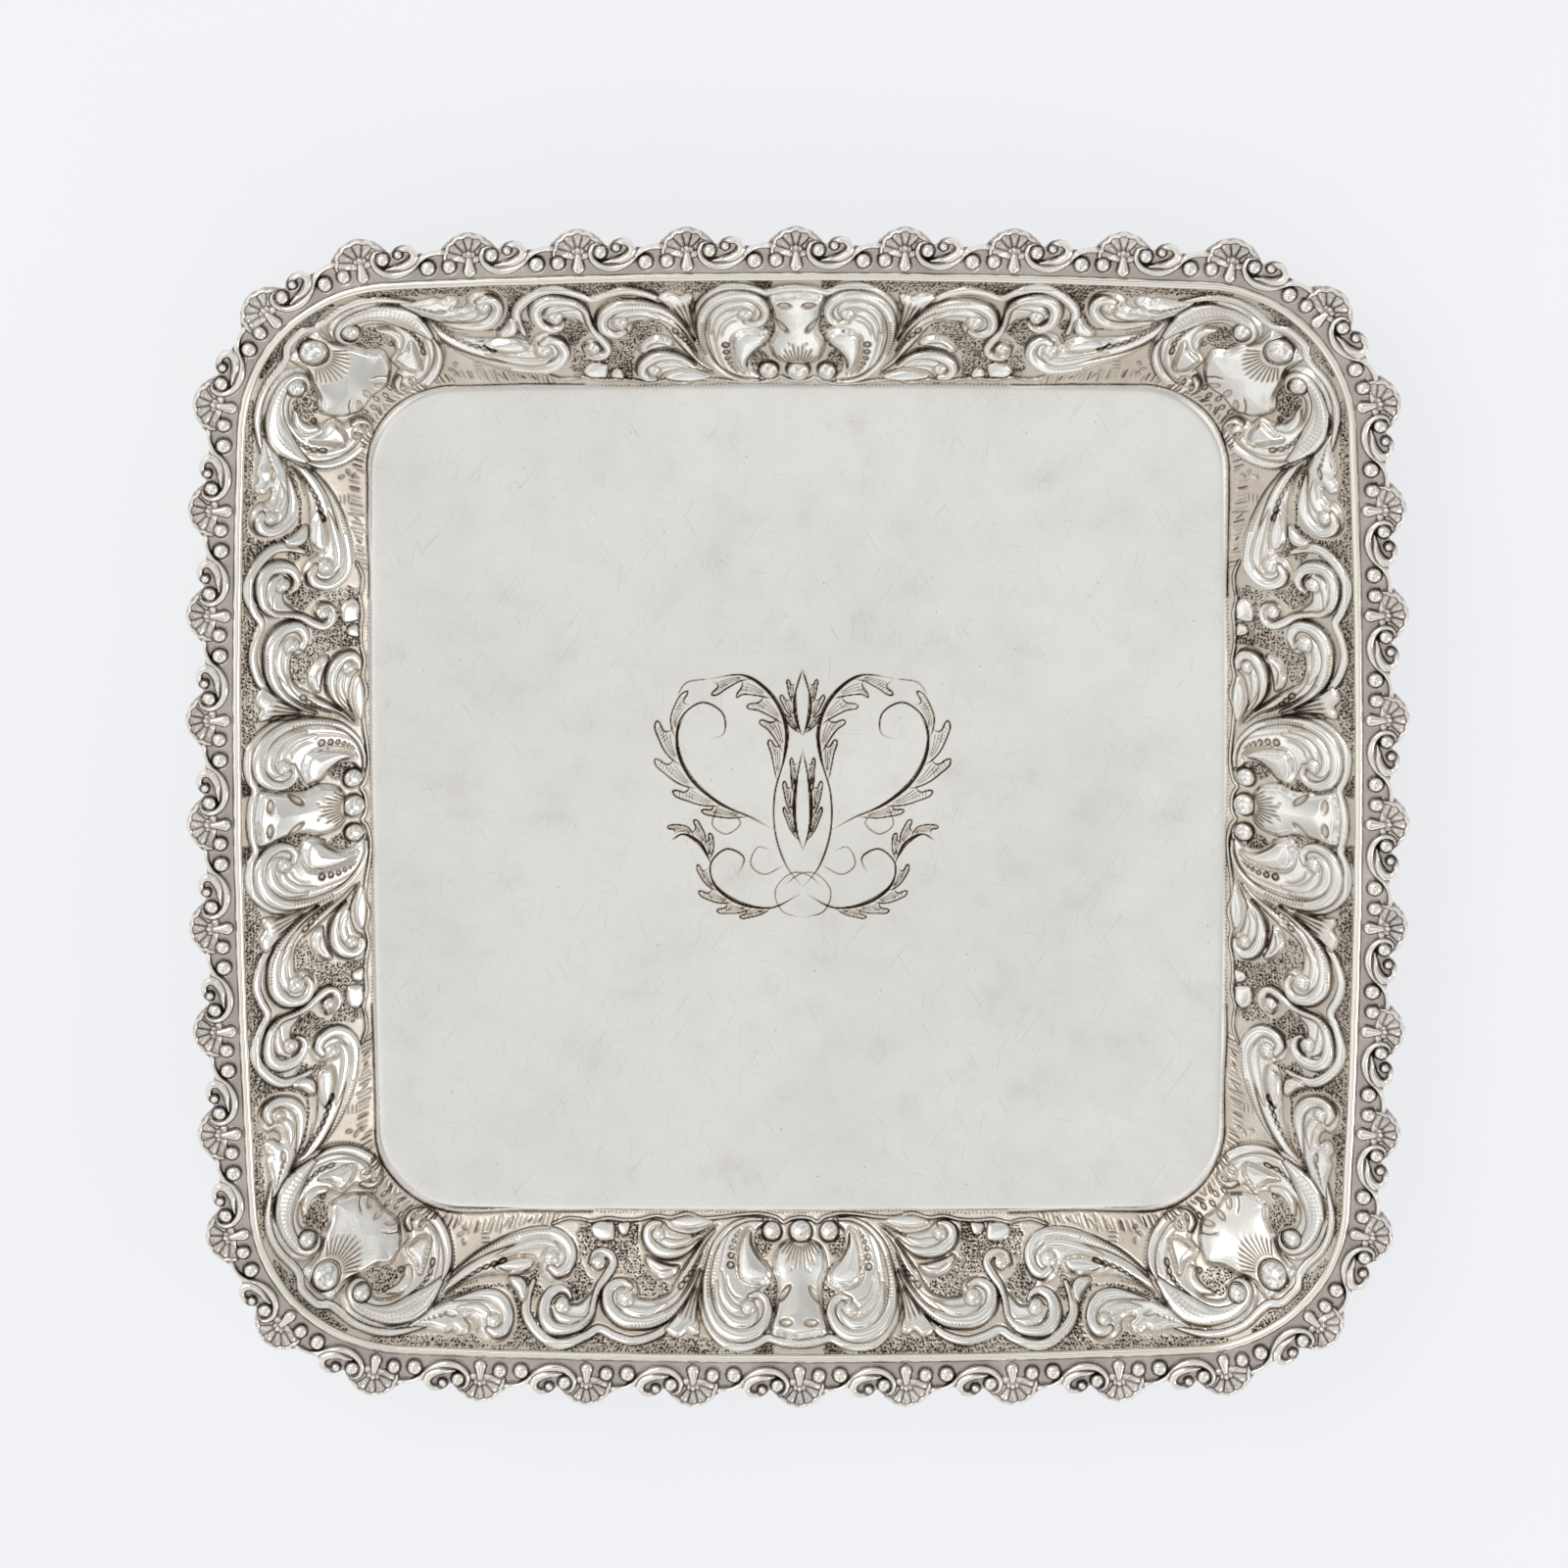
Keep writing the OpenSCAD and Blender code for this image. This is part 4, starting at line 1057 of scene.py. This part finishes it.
for quarter, where in enumerate(quarters):
    turned = np.array(Matrix.Rotation(-np.pi / 2 * quarter + np.pi / 4, 2))
    centre = np.array(Matrix.Rotation(-np.pi / 2 * quarter, 2)) @ (foot_at, foot_at)

    def under_tray(points):
        points[..., :2] = points[..., :2] @ turned.T + centre
        return points

    across = leg_half[:, None] * np.sign(np.cos(around)) * np.abs(np.cos(around)) ** 0.6
    rib = 1 + 0.28 * np.cos(across / leg_half[:, None] * 9.4) * np.abs(np.sin(around)) ** 0.5
    deep = leg_thick[:, None] * np.sign(np.sin(around)) * np.abs(np.sin(around)) ** 0.7 * rib
    points = np.zeros(across.shape + (3,))
    points[..., 0] = leg_line[:, :1] + leg_side[:, :1] * deep
    points[..., 1] = across
    points[..., 2] = np.maximum(leg_line[:, 1:] + leg_side[:, 1:] * deep, 0.0)
    groove = 0.75 * (1.28 - rib) / 0.56
    leg = strip(f"foot_leg_{where}", under_tray(points), {"tarnish": np.clip(groove, 0, 1)})
    bm = bmesh.new()
    profile = [(0, foot_h - pad_t), (3.5, foot_h - pad_t), (6.2, foot_h - pad_t + 0.1),
        (7.6, foot_h - pad_t + 0.5), (8.4, foot_h - 0.55), (8.4, foot_h - 0.2), (7.8, foot_h),
        (4, foot_h), (0, foot_h)]
    verts = [bm.verts.new((x, 0, z)) for x, z in profile]
    chain = [bm.edges.new(pair) for pair in zip(verts, verts[1:])]
    bmesh.ops.spin(bm, geom=verts + chain, cent=(0, 0, 0), axis=(0, 0, 1), angle=2 * np.pi, steps=180,
        use_merge=True)
    bmesh.ops.remove_doubles(bm, verts=bm.verts, dist=0.0005)
    bmesh.ops.recalc_face_normals(bm, faces=bm.faces)
    shell_dark = []
    for v in bm.verts:
        r, a = np.hypot(v.co.x, v.co.y), np.arctan2(v.co.y, v.co.x)
        flute = np.abs(np.cos(4.5 * a)) ** 0.7
        out = 1 + 0.06 * (flute - 0.8) * ease((r - 5) / 3)
        v.co.x, v.co.y = v.co.x * out, v.co.y * out
        low = v.co.z < foot_h - 0.4
        v.co.z += 0.5 * (1 - flute) * ease((r - 2.5) / 3) * low
        shell_dark.append(0.7 * (1 - flute) * float(r > 3) * low + 0.15)
        place = under_tray(np.array([v.co[:]]))[0] * mm
        v.co = place
    pad = piece_from(f"foot_pad_{where}", bm)
    pad.data.shade_smooth()
    pad.data.set_sharp_from_angle(angle=np.radians(50))
    note(pad, "tarnish", shell_dark)
    for piece in (leg, pad):
        piece.data.materials.append(cast_silver)
        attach(piece, "root")
        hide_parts(f"foot_{where}")

# ---- The room ---------------------------------------------------------------------------------
# The salver stands on a pale table of opal acrylic under a large soft light. White walls stand
# round it, and a smaller softbox is on the right.

bm = bmesh.new()
bmesh.ops.create_grid(bm, x_segments=1, y_segments=1, size=3)
floor = piece_from("table_top", bm)
# Opal acrylic lit from beneath, so that the tray throws almost no shadow.
opal = bpy.data.materials.new("lit_opal_acrylic")
tree = new_tree(opal)
place = add(tree, "TexCoord", {}).outputs["Object"]
milk = add(tree, "TexNoise", {"Vector": place, "Scale": 6.0, "Detail": 2.0})
tone = add(tree, "Mix", {0: milk.outputs["Fac"], 6: colour("#737475"), 7: colour("#777879")},
    data_type="RGBA")
glow = add(tree, "Mix", {0: milk.outputs["Fac"], 6: colour("#f4f6fa"), 7: colour("#f8f9fc")},
    data_type="RGBA")
sheet = add(tree, "BsdfPrincipled", {"Base Color": tone.outputs[2], "Roughness": 0.7,
    "Emission Color": glow.outputs[2], "Emission Strength": 0.75})
add(tree, "OutputMaterial", {"Surface": sheet.outputs[0]})
floor.data.materials.append(opal)


def lamp(name, place, aim, size, power):
    light = bpy.data.lights.new(name, "AREA")
    light.shape = "RECTANGLE"
    light.size, light.size_y = size
    light.energy = power
    obj = bpy.data.objects.new(name, light)
    obj.location = place
    obj.rotation_euler = (Vector(aim) - Vector(place)).to_track_quat("-Z", "Y").to_euler()
    bpy.context.scene.collection.objects.link(obj)


lamp("overhead_softbox", (-0.55, 0.75, 1.4), (0, 0, 0), (0.7, 0.5), 4.5)
lamp("right_softbox", (1.1, -0.5, 0.9), (0, 0, 0), (0.3, 0.6), 2)
# white walls: brightest overhead and behind, greyer low down, with a dark gap at the lens
world = bpy.data.worlds.new("white_room")
bpy.context.scene.world = world
tree = new_tree(world)
way = add(tree, "TexCoord", {}).outputs["Generated"]
parts = add(tree, "SeparateXYZ", {0: way})
high = add(tree, "MapRange", {"Value": parts.outputs["Z"], 1: 0.02, 2: 0.75, 3: 0.66, 4: 0.87},
    interpolation_type="SMOOTHSTEP")
behind = add(tree, "MapRange", {"Value": parts.outputs["Y"], 1: -0.1, 2: 0.8, 3: 0.0, 4: 0.1})
facing = add(tree, "MapRange", {"Value": parts.outputs["Y"], 1: -0.35, 2: -0.85, 3: 0.0, 4: 0.3})
left = add(tree, "MapRange", {"Value": parts.outputs["X"], 1: -0.3, 2: -0.8, 3: 0.0, 4: 0.34})
panes = add(tree, "TexNoise", {"Vector": way, "Scale": 3.4, "Detail": 1.0})
patches = add(tree, "MapRange", {"Value": panes.outputs["Fac"], 1: 0.38, 2: 0.62, 3: 0.52, 4: 1.14})
open_sky = add(tree, "Math", {0: high.outputs[0], 1: behind.outputs[0]}, operation="ADD")
side_walls = add(tree, "Math", {0: facing.outputs[0], 1: left.outputs[0]}, operation="ADD")
open_sky = add(tree, "Math", {0: open_sky.outputs[0], 1: side_walls.outputs[0]}, operation="ADD")
sky = add(tree, "Math", {0: open_sky.outputs[0], 1: patches.outputs[0]}, operation="MULTIPLY")
to_camera = (0.012, 0.259, 0.966)
lens = add(tree, "VectorMath", {0: way, 1: to_camera}, operation="DOT_PRODUCT")
gap = add(tree, "MapRange", {"Value": lens.outputs["Value"], 1: 0.988, 2: 0.996, 3: 1.0, 4: 0.05})
walls = add(tree, "Math", {0: sky.outputs[0], 1: gap.outputs[0]}, operation="MULTIPLY")
bright = add(tree, "Math", {0: walls.outputs[0], 1: 1.06}, operation="MULTIPLY")
back = add(tree, "Background", {"Color": colour("#fbfbf9"), "Strength": bright.outputs[0]})
add(tree, "OutputWorld", {"Surface": back.outputs[0]})
bpy.context.scene.view_settings.view_transform = "Standard"

# camera: a long lens a little off square, about three metres from the salver
camera = bpy.data.cameras.new("camera")
camera.sensor_width = 36
camera.lens = 291.03
camera.clip_end = 20
eye = bpy.data.objects.new("camera", camera)
bpy.context.scene.collection.objects.link(eye)
roll, tilt, yaw = 0.195, 15.006, -0.676
aim = Vector((-3.363, 9.988, edge_z)) * mm
axes = (
    Matrix.Rotation(np.radians(roll), 3, "Z")
    @ Matrix.Rotation(np.radians(tilt), 3, "X")
    @ Matrix.Rotation(np.radians(yaw), 3, "Y")
)
camera_far = 3.10667
eye.matrix_world = Matrix.Translation(aim + camera_far * axes[2]) @ axes.transposed().to_4x4()
bpy.context.scene.camera = eye
